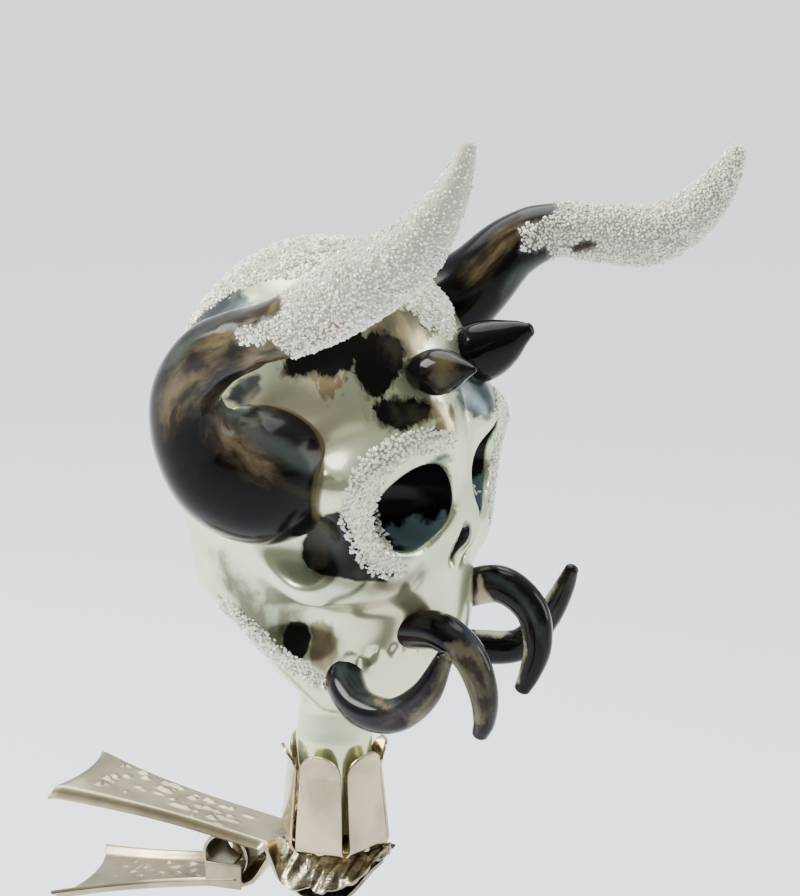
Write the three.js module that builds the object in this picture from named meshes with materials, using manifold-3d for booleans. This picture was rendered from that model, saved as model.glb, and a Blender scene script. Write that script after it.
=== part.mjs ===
// A clip-on blown glass ornament: a horned skull, silvered and lacquered, on a stamped spring clip.
// Millimetres, +Z up. The skull faces -Y, so its right side is at -X and its left side at +X.
// The origin is the middle of the flat grip pad, the underside of the clip's upper jaw, straight
// below the skull's neck: the edge that the clip bites on touches the part there.

import * as THREE from 'three';
import { mergeVertices } from 'three/addons/utils/BufferGeometryUtils.js';
import Module from 'manifold-3d';

const wasm = await Module();
wasm.setup();

const RAD = Math.PI / 180;

// Driving dimensions of the glass.
const GAP = 0.3;                // clearance between pieces that touch
const SHEET = 0.6;              // thickness of the clip's steel sheet
const COLLET_BOTTOM = SHEET + GAP;
const COLLET_HEIGHT = 16.5;
const COLLET_FOOT_RADIUS = 7.6;
const COLLET_WAIST_RADIUS = 6.6;
const COLLET_TIP_RADIUS = 7.7;
const COLLET_TURN = 43 * RAD;   // the way that one gap between two petals faces
const PETALS = 6;
const PETAL_SHEET = 0.5;
const NECK_RADIUS = 5.4;
const NECK_BULGE_RADIUS = 6.1;
const HEAD_PIVOT = COLLET_BOTTOM + 20;      // the head's own frame starts here, above the origin
const HEAD_ROLL = 4 * RAD;                  // the head leans to its right side on the neck
const SKULL_DETAIL = 10;
const SKULL_HEART = new THREE.Vector3(0, -8, 37);   // the point that its net is drawn on from
const HORN_SIDES = 15;
const TUSK_SIDES = 9;
const SPIKE_SIDES = 12;

// Driving dimensions of the clip, along its own length: s runs from the neck's axis to the jaw's
// tip, and the handles lie on the negative side.
const CLIP_YAW = 12 * RAD;      // the clip's length against the way the skull faces
const HANDLE_END = -45.5;
const HANDLE_FLARE = 10.4;      // half of the width at the fishtail end
const HANDLE_WAIST = 5.8;
const HANDLE_ROOT = -9.2;
const HANDLE_LIP = 1.3;
const UPPER_HANDLE_RISE = 7;
const LOWER_HANDLE_DROP = 11.2;
const LOWER_HANDLE_RISE = 4.8;
const JAW_START = -8.4;
const JAW_TIP = 9.2;
const JAW_HALF_WIDTH = 8.2;
const JAW_DROOP = 5.4;
const MOUTH = 3;                // height of the gap between the closed jaws at its middle
const RAMP_FOOT = -13.4;        // where the lower plate starts to climb to its fulcrum
const EAR_FROM = -20.2;
const EAR_TO = -13.8;
const EAR_HEIGHT = 4;
const RING_S = -17.2;
const RING_Z = -2.65;
const RING_RADIUS = 3.95;
const RING_WIDTH = 9;
const RING_GAP = 30 * RAD;      // how much of the spring's ring is left open, at the bottom

// Small helpers on numbers.
const mix = (a, b, t) => a + (b - a) * t;
const clamp = (t) => Math.min(1, Math.max(0, t));
const smooth = (a, b, t) => {
  const k = clamp((t - a) / (b - a));
  return k * k * (3 - 2 * k);
};

// Distance fields. Each takes a point and gives its distance from a rounded form, less than
// nothing inside it.
const ball = (x, y, z, rx, ry, rz) => (p) => {
  const u = (p.x - x) / rx;
  const v = (p.y - y) / ry;
  const w = (p.z - z) / rz;
  const near = Math.hypot(u, v, w);
  const slope = Math.hypot(u / rx, v / ry, w / rz);
  return near * (near - 1) / Math.max(slope, 1e-6);
};

const bar = (from, to, r1, r2) => (p) => {
  const d = [to[0] - from[0], to[1] - from[1], to[2] - from[2]];
  const q = [p.x - from[0], p.y - from[1], p.z - from[2]];
  const t = clamp((q[0] * d[0] + q[1] * d[1] + q[2] * d[2]) / (d[0] ** 2 + d[1] ** 2 + d[2] ** 2));
  return Math.hypot(q[0] - d[0] * t, q[1] - d[1] * t, q[2] - d[2] * t) - mix(r1, r2, t);
};

const blendTwo = (a, b, k) => Math.min(a, b) - Math.max(k - Math.abs(a - b), 0) ** 2 / (4 * k);
const join = (k, ...forms) => (p) => forms.map((form) => form(p)).reduce((a, b) => blendTwo(a, b, k));
const carve = (k, form, ...cuts) => (p) => cuts.reduce((a, cut) => -blendTwo(-a, cut(p), k), form(p));
const mirrored = (form) => (p) => form({ x: Math.abs(p.x), y: p.y, z: p.z });

// The skull's form, in the head's frame. The glass was blown in a two-part mould, so its left
// and right sides are alike.
const cranium = join(9,
  ball(0, -1.2, 49.5, 24.5, 23.6, 27.4),
  ball(0, 4, 38, 17.5, 14.5, 15),
  ball(0, -9, 36, 18.5, 13.5, 15));
const face = join(3.5,
  ball(0, -11.5, 22, 12.5, 12.3, 12),
  bar([6, -21.5, 50.5], [22, -16.5, 46.5], 4.2, 3.2),
  bar([11.5, -18, 30.5], [20, -11, 31], 3, 3.6),
  bar([20, -11, 31], [18, -1, 35], 3.6, 4),
  bar([22, -16.5, 45], [17.5, -16.5, 33], 2.6, 2.4),
  bar([0, -21.5, 44], [0, -23.5, 35.5], 2.8, 2.4));
const jaw = join(6,
  ball(0, -3, 17, 13, 15, 12),
  bar([15, 6, 29], [11, -8, 12], 6, 5),
  ball(0, -10, 13, 8, 6, 6));
const lensHollows = ball(24.5, -11, 37, 3.6, 7, 5);
const cheekHollows = ball(21, -8, 22.5, 6.5, 9, 5.5);
const skullForm = mirrored(carve(2, join(6, cranium, face, jaw), lensHollows, cheekHollows));

// Eye sockets and nostrils are pressed in from the front: each is x, y, z and half its width,
// depth and height, for the left side.
const HOLLOWS = [
  [10.8, -23, 40.2, 9.1, 10, 7.6],
  [2.7, -26.5, 31.3, 1.6, 5, 4.6],
];

function gradient(form, p) {
  const step = 0.05;
  const at = (dx, dy, dz) => form({ x: p.x + dx, y: p.y + dy, z: p.z + dz });
  return new THREE.Vector3(
    at(step, 0, 0) - at(-step, 0, 0),
    at(0, step, 0) - at(0, -step, 0),
    at(0, 0, step) - at(0, 0, -step)).normalize();
}

// A sphere's net is drawn on to the form from outside, then evened out and drawn on again.
function wrap(form, centre, detail) {
  const sphere = new THREE.IcosahedronGeometry(1, detail);
  sphere.deleteAttribute('normal');
  sphere.deleteAttribute('uv');
  const geometry = mergeVertices(sphere, 1e-5);
  const place = geometry.attributes.position;
  const points = [];
  for (let i = 0; i < place.count; i += 1) {
    const way = new THREE.Vector3().fromBufferAttribute(place, i).normalize();
    points.push(hit(form, centre, way));
  }
  const neighbours = points.map(() => new Set());
  const order = geometry.index.array;
  for (let i = 0; i < order.length; i += 3) {
    for (let k = 0; k < 3; k += 1) {
      neighbours[order[i + k]].add(order[i + (k + 1) % 3]);
      neighbours[order[i + k]].add(order[i + (k + 2) % 3]);
    }
  }
  for (let round = 0; round < 3; round += 1) {
    const means = points.map((p, i) => meanOf([...neighbours[i]].map((j) => points[j])));
    points.forEach((p, i) => {
      p.lerp(means[i], 0.5);
      settle(form, p);
    });
  }
  points.forEach((p, i) => place.setXYZ(i, p.x, p.y, p.z));
  return geometry;
}

function hit(form, centre, way) {
  const far = 60;
  const steps = 150;
  let inside = 0;
  for (let i = steps; i > 0; i -= 1) {
    const reach = far * i / steps;
    if (form(centre.clone().addScaledVector(way, reach)) < 0) {
      inside = reach;
      break;
    }
  }
  const p = centre.clone().addScaledVector(way, inside);
  settle(form, p);
  return p;
}

function settle(form, p) {
  for (let i = 0; i < 3; i += 1) {
    p.addScaledVector(gradient(form, p), -0.9 * form(p));
  }
}

function meanOf(list) {
  const sum = new THREE.Vector3();
  list.forEach((q) => sum.add(q));
  return sum.divideScalar(list.length);
}

// Joining and cutting of closed meshes.
function solid(geometry) {
  const bare = geometry.clone();
  bare.deleteAttribute('normal');
  bare.deleteAttribute('uv');
  const merged = mergeVertices(bare, 1e-4);
  return new wasm.Manifold(new wasm.Mesh({
    numProp: 3,
    vertProperties: new Float32Array(merged.attributes.position.array),
    triVerts: new Uint32Array(merged.index.array),
  }));
}

function geometryOf(manifold) {
  const mesh = manifold.getMesh();
  const geometry = new THREE.BufferGeometry();
  geometry.setAttribute('position', new THREE.BufferAttribute(new Float32Array(mesh.vertProperties), 3));
  geometry.setIndex(new THREE.BufferAttribute(new Uint32Array(mesh.triVerts), 1));
  return geometry;
}

// A round tapering rod along a smooth curve through the given points, closed by domed ends.
// Each point is x, y, z and the rod's radius there.
function rod(points, sides, rings) {
  const curve = new THREE.CatmullRomCurve3(points.map((q) => new THREE.Vector3(q[0], q[1], q[2])));
  const radii = new THREE.CatmullRomCurve3(points.map((q, i) => new THREE.Vector3(i, q[3], 0)));
  const frames = curve.computeFrenetFrames(rings);
  const vertices = [];
  for (let i = 0; i <= rings; i += 1) {
    const t = curve.getUtoTmapping(i / rings);
    const middle = curve.getPoint(t);
    const radius = radii.getPoint(t).y;
    for (let k = 0; k < sides; k += 1) {
      const turn = 2 * Math.PI * k / sides;
      const p = middle.clone()
        .addScaledVector(frames.normals[i], radius * Math.cos(turn))
        .addScaledVector(frames.binormals[i], radius * Math.sin(turn));
      vertices.push(p.x, p.y, p.z);
    }
  }
  const dome = (i, way, radius) => {
    const middle = curve.getPoint(curve.getUtoTmapping(i / rings));
    const p = middle.addScaledVector(frames.tangents[i], way * radius * 0.6);
    vertices.push(p.x, p.y, p.z);
  };
  dome(0, -1, points[0][3]);
  dome(rings, 1, points[points.length - 1][3]);
  const order = [];
  for (let i = 0; i < rings; i += 1) {
    for (let k = 0; k < sides; k += 1) {
      const a = i * sides + k;
      const b = i * sides + (k + 1) % sides;
      order.push(a, b, a + sides, b, b + sides, a + sides);
    }
  }
  const first = (rings + 1) * sides;
  for (let k = 0; k < sides; k += 1) {
    const next = (k + 1) % sides;
    order.push(first, next, k);
    order.push(first + 1, rings * sides + k, rings * sides + next);
  }
  return closed(vertices, order);
}

// A closed mesh from its corners and triangles, with its faces made to point out.
function closed(vertices, order) {
  const geometry = new THREE.BufferGeometry();
  geometry.setAttribute('position', new THREE.Float32BufferAttribute(vertices, 3));
  let volume = 0;
  const corner = (i) => new THREE.Vector3(vertices[3 * i], vertices[3 * i + 1], vertices[3 * i + 2]);
  for (let i = 0; i < order.length; i += 3) {
    volume += corner(order[i]).dot(corner(order[i + 1]).cross(corner(order[i + 2])));
  }
  const outward = volume > 0;
  const turned = outward ? order : order.map((v, i) => order[i - (i % 3) + 2 - (i % 3)]);
  geometry.setIndex(turned);
  return geometry;
}

// Neck stub: the glass tube that the skull was blown on, bulging just above the collet and
// tapering down into it. It stands upright, so it is turned back in the leaning head's frame.
function neck() {
  const bottom = 2.2;
  const profile = [
    [0, bottom],
    [3.6, bottom],
    [5.3, COLLET_HEIGHT * 0.55],
    [5.8, COLLET_HEIGHT * 0.83],
    [NECK_BULGE_RADIUS, COLLET_HEIGHT + 1],
    [5.8, COLLET_HEIGHT + 3],
    [NECK_RADIUS, COLLET_HEIGHT + 6],
    [NECK_RADIUS, COLLET_HEIGHT + 20],
    [0, COLLET_HEIGHT + 20],
  ];
  const lathe = new THREE.LatheGeometry(profile.map((q) => new THREE.Vector2(q[0], q[1])), 18);
  lathe.rotateX(Math.PI / 2);
  lathe.translate(0, 0, COLLET_BOTTOM - HEAD_PIVOT);
  lathe.rotateY(HEAD_ROLL);
  return solid(lathe);
}

function hollow(x, y, z, rx, ry, rz) {
  const bowl = new THREE.IcosahedronGeometry(1, 4);
  bowl.scale(rx, ry, rz);
  bowl.translate(x, y, z);
  return solid(bowl);
}

function skull() {
  let whole = solid(wrap(skullForm, SKULL_HEART, SKULL_DETAIL)).add(neck());
  HOLLOWS.forEach(([x, ...rest]) => {
    whole = whole.subtract(hollow(x, ...rest)).subtract(hollow(-x, ...rest));
  });
  return geometryOf(whole);
}

// The skull, a little larger all round, is what the applied pieces are cut to.
const skullAllowance = solid(wrap((p) => skullForm(p) - GAP, SKULL_HEART, SKULL_DETAIL));

// Horns, spikes and tusks are drawn from hot glass by hand and fused on, so left and right
// differ a little. Each point is x, y, z and radius in the head's frame.
const HORN_RIGHT = [
  [-17, -5, 47, 10.4],
  [-24.5, -4.6, 47.6, 10.3],
  [-30.5, -2.8, 50.5, 8.6],
  [-34.5, -1.4, 55.4, 6.2],
  [-37.5, -2.6, 62, 4.8],
  [-40, -8.6, 68.2, 4.6],
  [-41.5, -16.4, 71.8, 4.2],
  [-42.5, -22.9, 74.1, 4.4],
  [-43, -29, 77.1, 4.9],
  [-43, -34.9, 80.6, 5.1],
  [-42.8, -41.5, 84.8, 4.4],
  [-42.3, -45.3, 89.4, 3.3],
  [-41.7, -47.6, 93.5, 2.3],
  [-41, -48.9, 97.6, 1.5],
];
const HORN_LEFT = [
  [15, 1.5, 52, 9.8],
  [20.5, -1.5, 56, 9.4],
  [22, -8.5, 61.5, 7.6],
  [24, -14.6, 66.8, 6],
  [28.5, -18.6, 71.6, 5],
  [32.5, -23.6, 74, 4.5],
  [36.5, -30.2, 73.2, 4.7],
  [40.5, -37, 72.6, 4.9],
  [44, -42.6, 75.8, 4.1],
  [46.5, -46.3, 80.8, 2.9],
  [48, -48.4, 85.2, 1.5],
];
const SPIKE_RIGHT = [
  [-7.4, -21, 59.6, 3.6],
  [-8.2, -24.6, 60.4, 3.7],
  [-9, -27.6, 61, 2.9],
  [-9.8, -30.4, 61.6, 1.5],
  [-10.2, -32.3, 61.9, 0.5],
];
const SPIKE_LEFT = [
  [7.6, -20.5, 58.6, 4.6],
  [8.4, -24.4, 60, 4.8],
  [9.2, -27.6, 61.6, 3.9],
  [9.9, -30.2, 63.2, 2.3],
  [10.2, -31.8, 64.2, 0.9],
];
const TUSK_OUTER_RIGHT = [
  [-10.5, -9.5, 16, 2.8],
  [-14.5, -11.5, 13.6, 2.9],
  [-18, -16, 11.6, 2.8],
  [-20.2, -23, 12.2, 2.6],
  [-21, -28.8, 16.6, 2.2],
  [-20.6, -32, 22.6, 1.3],
];
const TUSK_INNER_RIGHT = [
  [-7.6, -19, 20.6, 3],
  [-9.4, -25.5, 21.6, 2.9],
  [-10.2, -30.2, 19, 2.6],
  [-9.8, -32.2, 13.5, 2.2],
  [-8.6, -31.6, 8.6, 1.7],
  [-8, -30.6, 6.2, 1.3],
];
const TUSK_INNER_LEFT = [
  [7.4, -19, 22, 3],
  [9.6, -25.4, 23, 2.9],
  [10.2, -30, 19.6, 2.6],
  [9.6, -31.4, 14, 2.2],
  [8.6, -30.4, 9.6, 1.7],
  [8, -29.4, 7.2, 1.3],
];
const TUSK_OUTER_LEFT = [
  [9.5, -8.5, 12.5, 2.8],
  [13.5, -11.5, 10, 2.9],
  [18, -17, 8.6, 2.8],
  [20.6, -22.5, 9, 2.6],
  [21.6, -27, 14, 2.2],
  [21, -30.6, 20, 1.6],
  [20.6, -32, 23, 1.1],
];

function fused(points, sides, rings) {
  return geometryOf(solid(rod(points, sides, rings)).subtract(skullAllowance));
}

// Collet: six flat tapering petals round the neck on a six-sided floor, bent in at the waist and
// flared at their rounded tips.
function petal() {
  const profile = [
    [COLLET_FOOT_RADIUS, 0],
    [COLLET_WAIST_RADIUS, COLLET_HEIGHT * 0.8],
    [mix(COLLET_WAIST_RADIUS, COLLET_TIP_RADIUS, 0.35), COLLET_HEIGHT * 0.9],
    [COLLET_TIP_RADIUS, COLLET_HEIGHT],
  ];
  const side = new THREE.Shape();
  side.moveTo(profile[0][0] - PETAL_SHEET, profile[0][1]);
  profile.forEach((q) => side.lineTo(q[0], q[1]));
  profile.slice(1).reverse().forEach((q) => side.lineTo(q[0] - PETAL_SHEET, q[1]));
  const broad = 10;
  const slot = 1;                 // half of the gap between two petals, at their tips
  const tipArc = 2.4;             // height of a petal's rounded tip
  const band = new THREE.ExtrudeGeometry(side, { depth: broad, bevelEnabled: false });
  band.translate(0, 0, -broad / 2);
  band.rotateX(Math.PI / 2);
  const foot = COLLET_FOOT_RADIUS * Math.tan(Math.PI / PETALS) - slot / 2;
  const head = COLLET_WAIST_RADIUS * Math.tan(Math.PI / PETALS) - slot * 0.6;
  const outline = new THREE.Shape();
  outline.moveTo(-foot, -1);
  outline.lineTo(foot, -1);
  outline.lineTo(foot, 0);
  outline.lineTo(head, COLLET_HEIGHT - tipArc);
  outline.quadraticCurveTo(head, COLLET_HEIGHT, 0, COLLET_HEIGHT + 0.2);
  outline.quadraticCurveTo(-head, COLLET_HEIGHT, -head, COLLET_HEIGHT - tipArc);
  outline.lineTo(-foot, 0);
  const cutter = new THREE.ExtrudeGeometry(outline, { depth: 12, bevelEnabled: false, curveSegments: 4 });
  cutter.rotateX(Math.PI / 2);
  cutter.rotateZ(Math.PI / 2);
  return solid(band).intersect(solid(cutter));
}

function collet() {
  const floorRadius = COLLET_FOOT_RADIUS / Math.cos(Math.PI / PETALS) - 0.2;
  const floorHeight = 0.8;
  const floor = new THREE.CylinderGeometry(floorRadius, floorRadius, floorHeight, PETALS);
  floor.rotateX(Math.PI / 2);
  floor.translate(0, 0, floorHeight / 2);
  const one = petal();
  let whole = solid(floor);
  for (let i = 0; i < PETALS; i += 1) {
    const turned = geometryOf(one);
    turned.rotateZ((i + 0.5) * 2 * Math.PI / PETALS);
    whole = whole.add(solid(turned));
  }
  return geometryOf(whole);
}

// A stamped sheet: a net of points along the clip's length and across its width, given a
// thickness downwards. place gives the upper side's point for s and for v from -1 to 1.
function sheet(stations, across, thickness, place) {
  const vertices = [];
  const order = [];
  const rows = stations.length;
  const count = rows * across.length;
  [0, -thickness].forEach((drop) => {
    stations.forEach((s) => across.forEach((v) => {
      const q = place(s, v);
      vertices.push(q[0], q[1], q[2] + drop);
    }));
  });
  const at = (row, column, layer) => layer * count + row * across.length + column;
  const face4 = (a, b, c, d) => order.push(a, b, c, a, c, d);
  for (let row = 0; row + 1 < rows; row += 1) {
    for (let column = 0; column + 1 < across.length; column += 1) {
      face4(at(row, column, 0), at(row + 1, column, 0), at(row + 1, column + 1, 0), at(row, column + 1, 0));
      face4(at(row, column, 1), at(row, column + 1, 1), at(row + 1, column + 1, 1), at(row + 1, column, 1));
    }
    const last = across.length - 1;
    face4(at(row, 0, 0), at(row, 0, 1), at(row + 1, 0, 1), at(row + 1, 0, 0));
    face4(at(row, last, 0), at(row + 1, last, 0), at(row + 1, last, 1), at(row, last, 1));
  }
  for (let column = 0; column + 1 < across.length; column += 1) {
    const end = rows - 1;
    face4(at(0, column, 0), at(0, column + 1, 0), at(0, column + 1, 1), at(0, column, 1));
    face4(at(end, column, 0), at(end, column, 1), at(end, column + 1, 1), at(end, column + 1, 0));
  }
  return closed(vertices, order);
}

const along = (from, to, count) => Array.from({ length: count + 1 }, (_, i) => mix(from, to, i / count));

// The handles' half width: a fishtail end narrowing to a waist.
const handleWidth = (s) => mix(HANDLE_FLARE, HANDLE_WAIST, 1 - (1 - clamp((s - HANDLE_END) / 26)) ** 2);
// The fishtail's end is hollowed, so its corners reach further than its middle.
const fishtail = (s, v) => s + 2.2 * (1 - v * v) * (1 - smooth(HANDLE_END, HANDLE_END + 12, s));
const jawWidth = (s) => {
  const open = mix(HANDLE_WAIST, JAW_HALF_WIDTH, smooth(HANDLE_ROOT, JAW_START + 2.4, s));
  const nose = Math.sqrt(clamp(1 - (Math.max(0, s) / JAW_TIP) ** 2.2));
  return open * Math.max(nose, 0.16);
};
const rimWave = (s) => 0.4 * Math.sin(s * 1.3 + 0.6);

// The upper side of the jaw's arch: flat where the collet stands on it, with its sides drooping
// less and less towards the tip.
function jawTop(s, v) {
  const flat = clamp((Math.abs(v) - 0.3) / 0.7);
  const droop = JAW_DROOP * (1 - clamp(s / JAW_TIP) ** 2) * smooth(HANDLE_ROOT - 0.6, JAW_START + 2.4, s);
  return SHEET - droop * flat;
}

// Upper plate: a fishtail handle with its long edges folded down, and a leaf-shaped arched jaw
// whose sides droop to a wavy rim.
function upperPlate() {
  const place = (s, v) => {
    const inHandle = s < HANDLE_ROOT + 0.1;
    const half = inHandle ? handleWidth(s) : jawWidth(s) + rimWave(s) * smooth(0.8, 1, Math.abs(v));
    const rise = UPPER_HANDLE_RISE * clamp((HANDLE_ROOT + 1 - s) / (HANDLE_ROOT - HANDLE_END));
    const lip = HANDLE_LIP * smooth(0.8, 1, Math.abs(v)) * (1 - smooth(HANDLE_ROOT - 2, HANDLE_ROOT, s));
    return [fishtail(s, v), v * half, jawTop(s, v) + rise - lip];
  };
  const stations = [
    ...along(HANDLE_END, HANDLE_END + 12, 5),
    ...along(HANDLE_END + 18, HANDLE_ROOT, 4),
    ...along(JAW_START, JAW_TIP, 12),
  ];
  return sheet(stations, [-1, -0.93, -0.8, -0.3, 0.3, 0.8, 0.93, 1], SHEET, place);
}

// Lower plate: the same kind of handle sloping the other way, two ears that hold the spring, a
// ramp up to the fulcrum under the upper plate, and a smaller arched jaw inside the upper one,
// which meets it at the tip.
function lowerPlate() {
  const rampTop = HANDLE_ROOT + 1;
  const place = (s, v) => {
    const edge = smooth(0.8, 1, Math.abs(v));
    if (s < RAMP_FOOT + 0.1) {
      const rise = LOWER_HANDLE_RISE * clamp((s - HANDLE_END) / (RAMP_FOOT - HANDLE_END));
      const lip = HANDLE_LIP * edge * (1 - smooth(RAMP_FOOT - 1.5, RAMP_FOOT, s));
      return [fishtail(s, v), v * handleWidth(s), rise - LOWER_HANDLE_DROP + lip];
    }
    const foot = LOWER_HANDLE_RISE - LOWER_HANDLE_DROP;
    const gape = MOUTH * smooth(rampTop + 0.6, -3, s) * (1 - smooth(3, JAW_TIP - 1, s));
    const half = mix(HANDLE_WAIST - 1, jawWidth(s) * 0.72, smooth(rampTop, -4, s));
    const under = jawTop(s, v * half / (jawWidth(s) - 0.5)) - SHEET - 0.5 - gape;
    return [s, v * half, mix(foot, under, smooth(RAMP_FOOT, rampTop, s))];
  };
  const stations = [
    ...along(HANDLE_END, HANDLE_END + 12, 5),
    ...along(HANDLE_END + 18, RAMP_FOOT, 3),
    ...along(RAMP_FOOT + 1, rampTop, 4),
    ...along(rampTop + 1.2, JAW_TIP - 0.5, 9),
  ];
  let plate = solid(sheet(stations, [-1, -0.93, -0.8, -0.3, 0.3, 0.8, 0.93, 1], SHEET, place));
  [-1, 1].forEach((side) => {
    const foot = LOWER_HANDLE_RISE - LOWER_HANDLE_DROP - 1;
    const ear = new THREE.Shape();
    ear.moveTo(EAR_FROM, foot);
    ear.lineTo(EAR_TO, foot + 1);
    ear.lineTo(EAR_TO - 0.6, foot + EAR_HEIGHT + 0.4);
    ear.lineTo(EAR_FROM + 0.6, foot + EAR_HEIGHT);
    const wall = new THREE.ExtrudeGeometry(ear, { depth: SHEET, bevelEnabled: false });
    wall.rotateX(Math.PI / 2);
    wall.translate(0, side * (HANDLE_WAIST - 0.1) + SHEET / 2, 0);
    plate = plate.add(solid(wall));
  });
  return geometryOf(plate);
}

// Spring: a flat steel band rolled to an open ring between the handles, with its gap at the bottom.
function spring() {
  const ring = new THREE.Shape();
  const bottom = -85 * RAD;
  const from = bottom + RING_GAP / 2;
  const to = bottom - RING_GAP / 2 + 2 * Math.PI;
  const inner = RING_RADIUS - SHEET;
  ring.absarc(0, 0, RING_RADIUS, from, to, false);
  ring.lineTo(inner * Math.cos(to), inner * Math.sin(to));
  ring.absarc(0, 0, inner, to, from, true);
  const band = new THREE.ExtrudeGeometry(ring, { depth: RING_WIDTH, bevelEnabled: false, curveSegments: 12 });
  band.translate(RING_S, RING_Z, -RING_WIDTH / 2);
  band.rotateX(Math.PI / 2);
  return band;
}

// Materials, one for each piece.
const finish = (color, roughness, metalness) => (
  new THREE.MeshStandardMaterial({ color, roughness, metalness }));
const glass = (color, roughness) => finish(color, roughness, 0.1);
const steel = (color, roughness) => finish(color, roughness, 1);

function piece(name, geometry, material) {
  const mesh = new THREE.Mesh(geometry, material);
  mesh.name = name;
  return mesh;
}

// Assembly.
const ornament = new THREE.Group();
ornament.name = 'ornament';

const head = new THREE.Group();
head.position.z = HEAD_PIVOT;
head.rotation.y = -HEAD_ROLL;
head.add(piece('skull', skull(), glass('#d9dccb', 0.25)));
head.add(piece('horn_right', fused(HORN_RIGHT, HORN_SIDES, 24), glass('#3a2c22', 0.15)));
head.add(piece('horn_left', fused(HORN_LEFT, HORN_SIDES, 20), glass('#2a2220', 0.15)));
head.add(piece('brow_spike_right', fused(SPIKE_RIGHT, SPIKE_SIDES, 8), glass('#191416', 0.1)));
head.add(piece('brow_spike_left', fused(SPIKE_LEFT, SPIKE_SIDES, 8), glass('#120f12', 0.1)));
head.add(piece('tusk_outer_right', fused(TUSK_OUTER_RIGHT, TUSK_SIDES, 14), glass('#2c2f33', 0.1)));
head.add(piece('tusk_inner_right', fused(TUSK_INNER_RIGHT, TUSK_SIDES, 14), glass('#4b3b2f', 0.1)));
head.add(piece('tusk_inner_left', fused(TUSK_INNER_LEFT, TUSK_SIDES, 14), glass('#3c3029', 0.1)));
head.add(piece('tusk_outer_left', fused(TUSK_OUTER_LEFT, TUSK_SIDES, 14), glass('#1d1a1c', 0.1)));
ornament.add(head);

const collar = piece('collet', collet(), steel('#c9bfae', 0.2));
collar.position.z = COLLET_BOTTOM;
collar.rotation.z = COLLET_TURN;
ornament.add(collar);

const clip = new THREE.Group();
clip.rotation.z = CLIP_YAW - Math.PI / 2;
clip.add(piece('upper_plate', upperPlate(), steel('#b9ab90', 0.25)));
clip.add(piece('lower_plate', lowerPlate(), steel('#b3a68d', 0.25)));
clip.add(piece('spring', spring(), steel('#a99c86', 0.3)));
ornament.add(clip);

export default ornament;
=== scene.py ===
import math

import bpy
import numpy as np
from mathutils import Matrix, Vector


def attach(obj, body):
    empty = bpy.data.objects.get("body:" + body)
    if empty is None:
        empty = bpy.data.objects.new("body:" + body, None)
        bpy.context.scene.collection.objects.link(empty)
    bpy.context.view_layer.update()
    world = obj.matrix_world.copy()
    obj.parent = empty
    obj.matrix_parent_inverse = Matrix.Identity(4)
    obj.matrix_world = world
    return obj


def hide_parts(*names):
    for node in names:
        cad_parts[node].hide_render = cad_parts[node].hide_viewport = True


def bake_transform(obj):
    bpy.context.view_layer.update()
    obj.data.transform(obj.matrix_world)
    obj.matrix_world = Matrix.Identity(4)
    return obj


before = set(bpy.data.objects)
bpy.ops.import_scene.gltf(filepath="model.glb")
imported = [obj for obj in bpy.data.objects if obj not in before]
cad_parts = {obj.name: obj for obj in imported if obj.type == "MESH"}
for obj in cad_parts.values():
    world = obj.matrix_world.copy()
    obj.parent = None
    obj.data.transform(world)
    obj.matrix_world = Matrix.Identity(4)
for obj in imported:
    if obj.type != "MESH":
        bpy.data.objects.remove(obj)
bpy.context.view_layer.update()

bpy.ops.object.select_all(action="DESELECT")

# The room
# A plain pale floor well below the ornament, under a sky that is lighter on one side, with soft
# lights behind it on its right, above it, and before it on its left. The camera looks at its
# right front from a little above.
MM = 0.001
FLOOR_DROP = 70 * MM
FLOOR_SIZE = 120.0
CAMERA_PLACE = Vector((-280.05, -173.7, 134.7)) * MM
CAMERA_BACK = Vector((-0.8471, -0.48907, 0.20791))
CAMERA_LENS = 87.89
LIGHTER_SIDE = (0.78, 0.45, 0.45)
SKY_TINTS = ((0.0, (0.16, 0.16, 0.13)), (0.35, (0.34, 0.34, 0.29)), (0.6, (0.98, 1.0, 1.0)))
SKY_BRIGHTEST = (1.05, 1.1, 1.18)
SKY_STRENGTH = 0.95
ORNAMENT_MIDDLE = (0, -10, 60)      # what the lights are turned to, in millimetres


def new_nodes(tree, kind, inputs=(), **settings):
    """Adds a node to a tree, sets it up, and fills or links its inputs."""
    made = tree.nodes.new(kind)
    for key, value in settings.items():
        setattr(made, key, value)
    for key, value in dict(inputs).items():
        if isinstance(value, bpy.types.NodeSocket):
            tree.links.new(value, made.inputs[key])
        else:
            made.inputs[key].default_value = value
    return made


def blank_material(name):
    material = bpy.data.materials.new(name)
    material.use_nodes = True
    material.node_tree.nodes.clear()
    return material


bpy.ops.mesh.primitive_grid_add(x_subdivisions=8, y_subdivisions=8, size=FLOOR_SIZE,
                                location=(0, 0, -FLOOR_DROP))
floor = bpy.context.object
floor.name = "floor"

paper = blank_material("pale_paper")
tree = paper.node_tree
paper_shader = new_nodes(tree, "ShaderNodeBsdfPrincipled",
                         {"Base Color": (0.76, 0.79, 0.84, 1), "Roughness": 0.9})
tree.links.new(paper_shader.outputs[0], new_nodes(tree, "ShaderNodeOutputMaterial").inputs[0])
floor.data.materials.append(paper)

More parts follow.
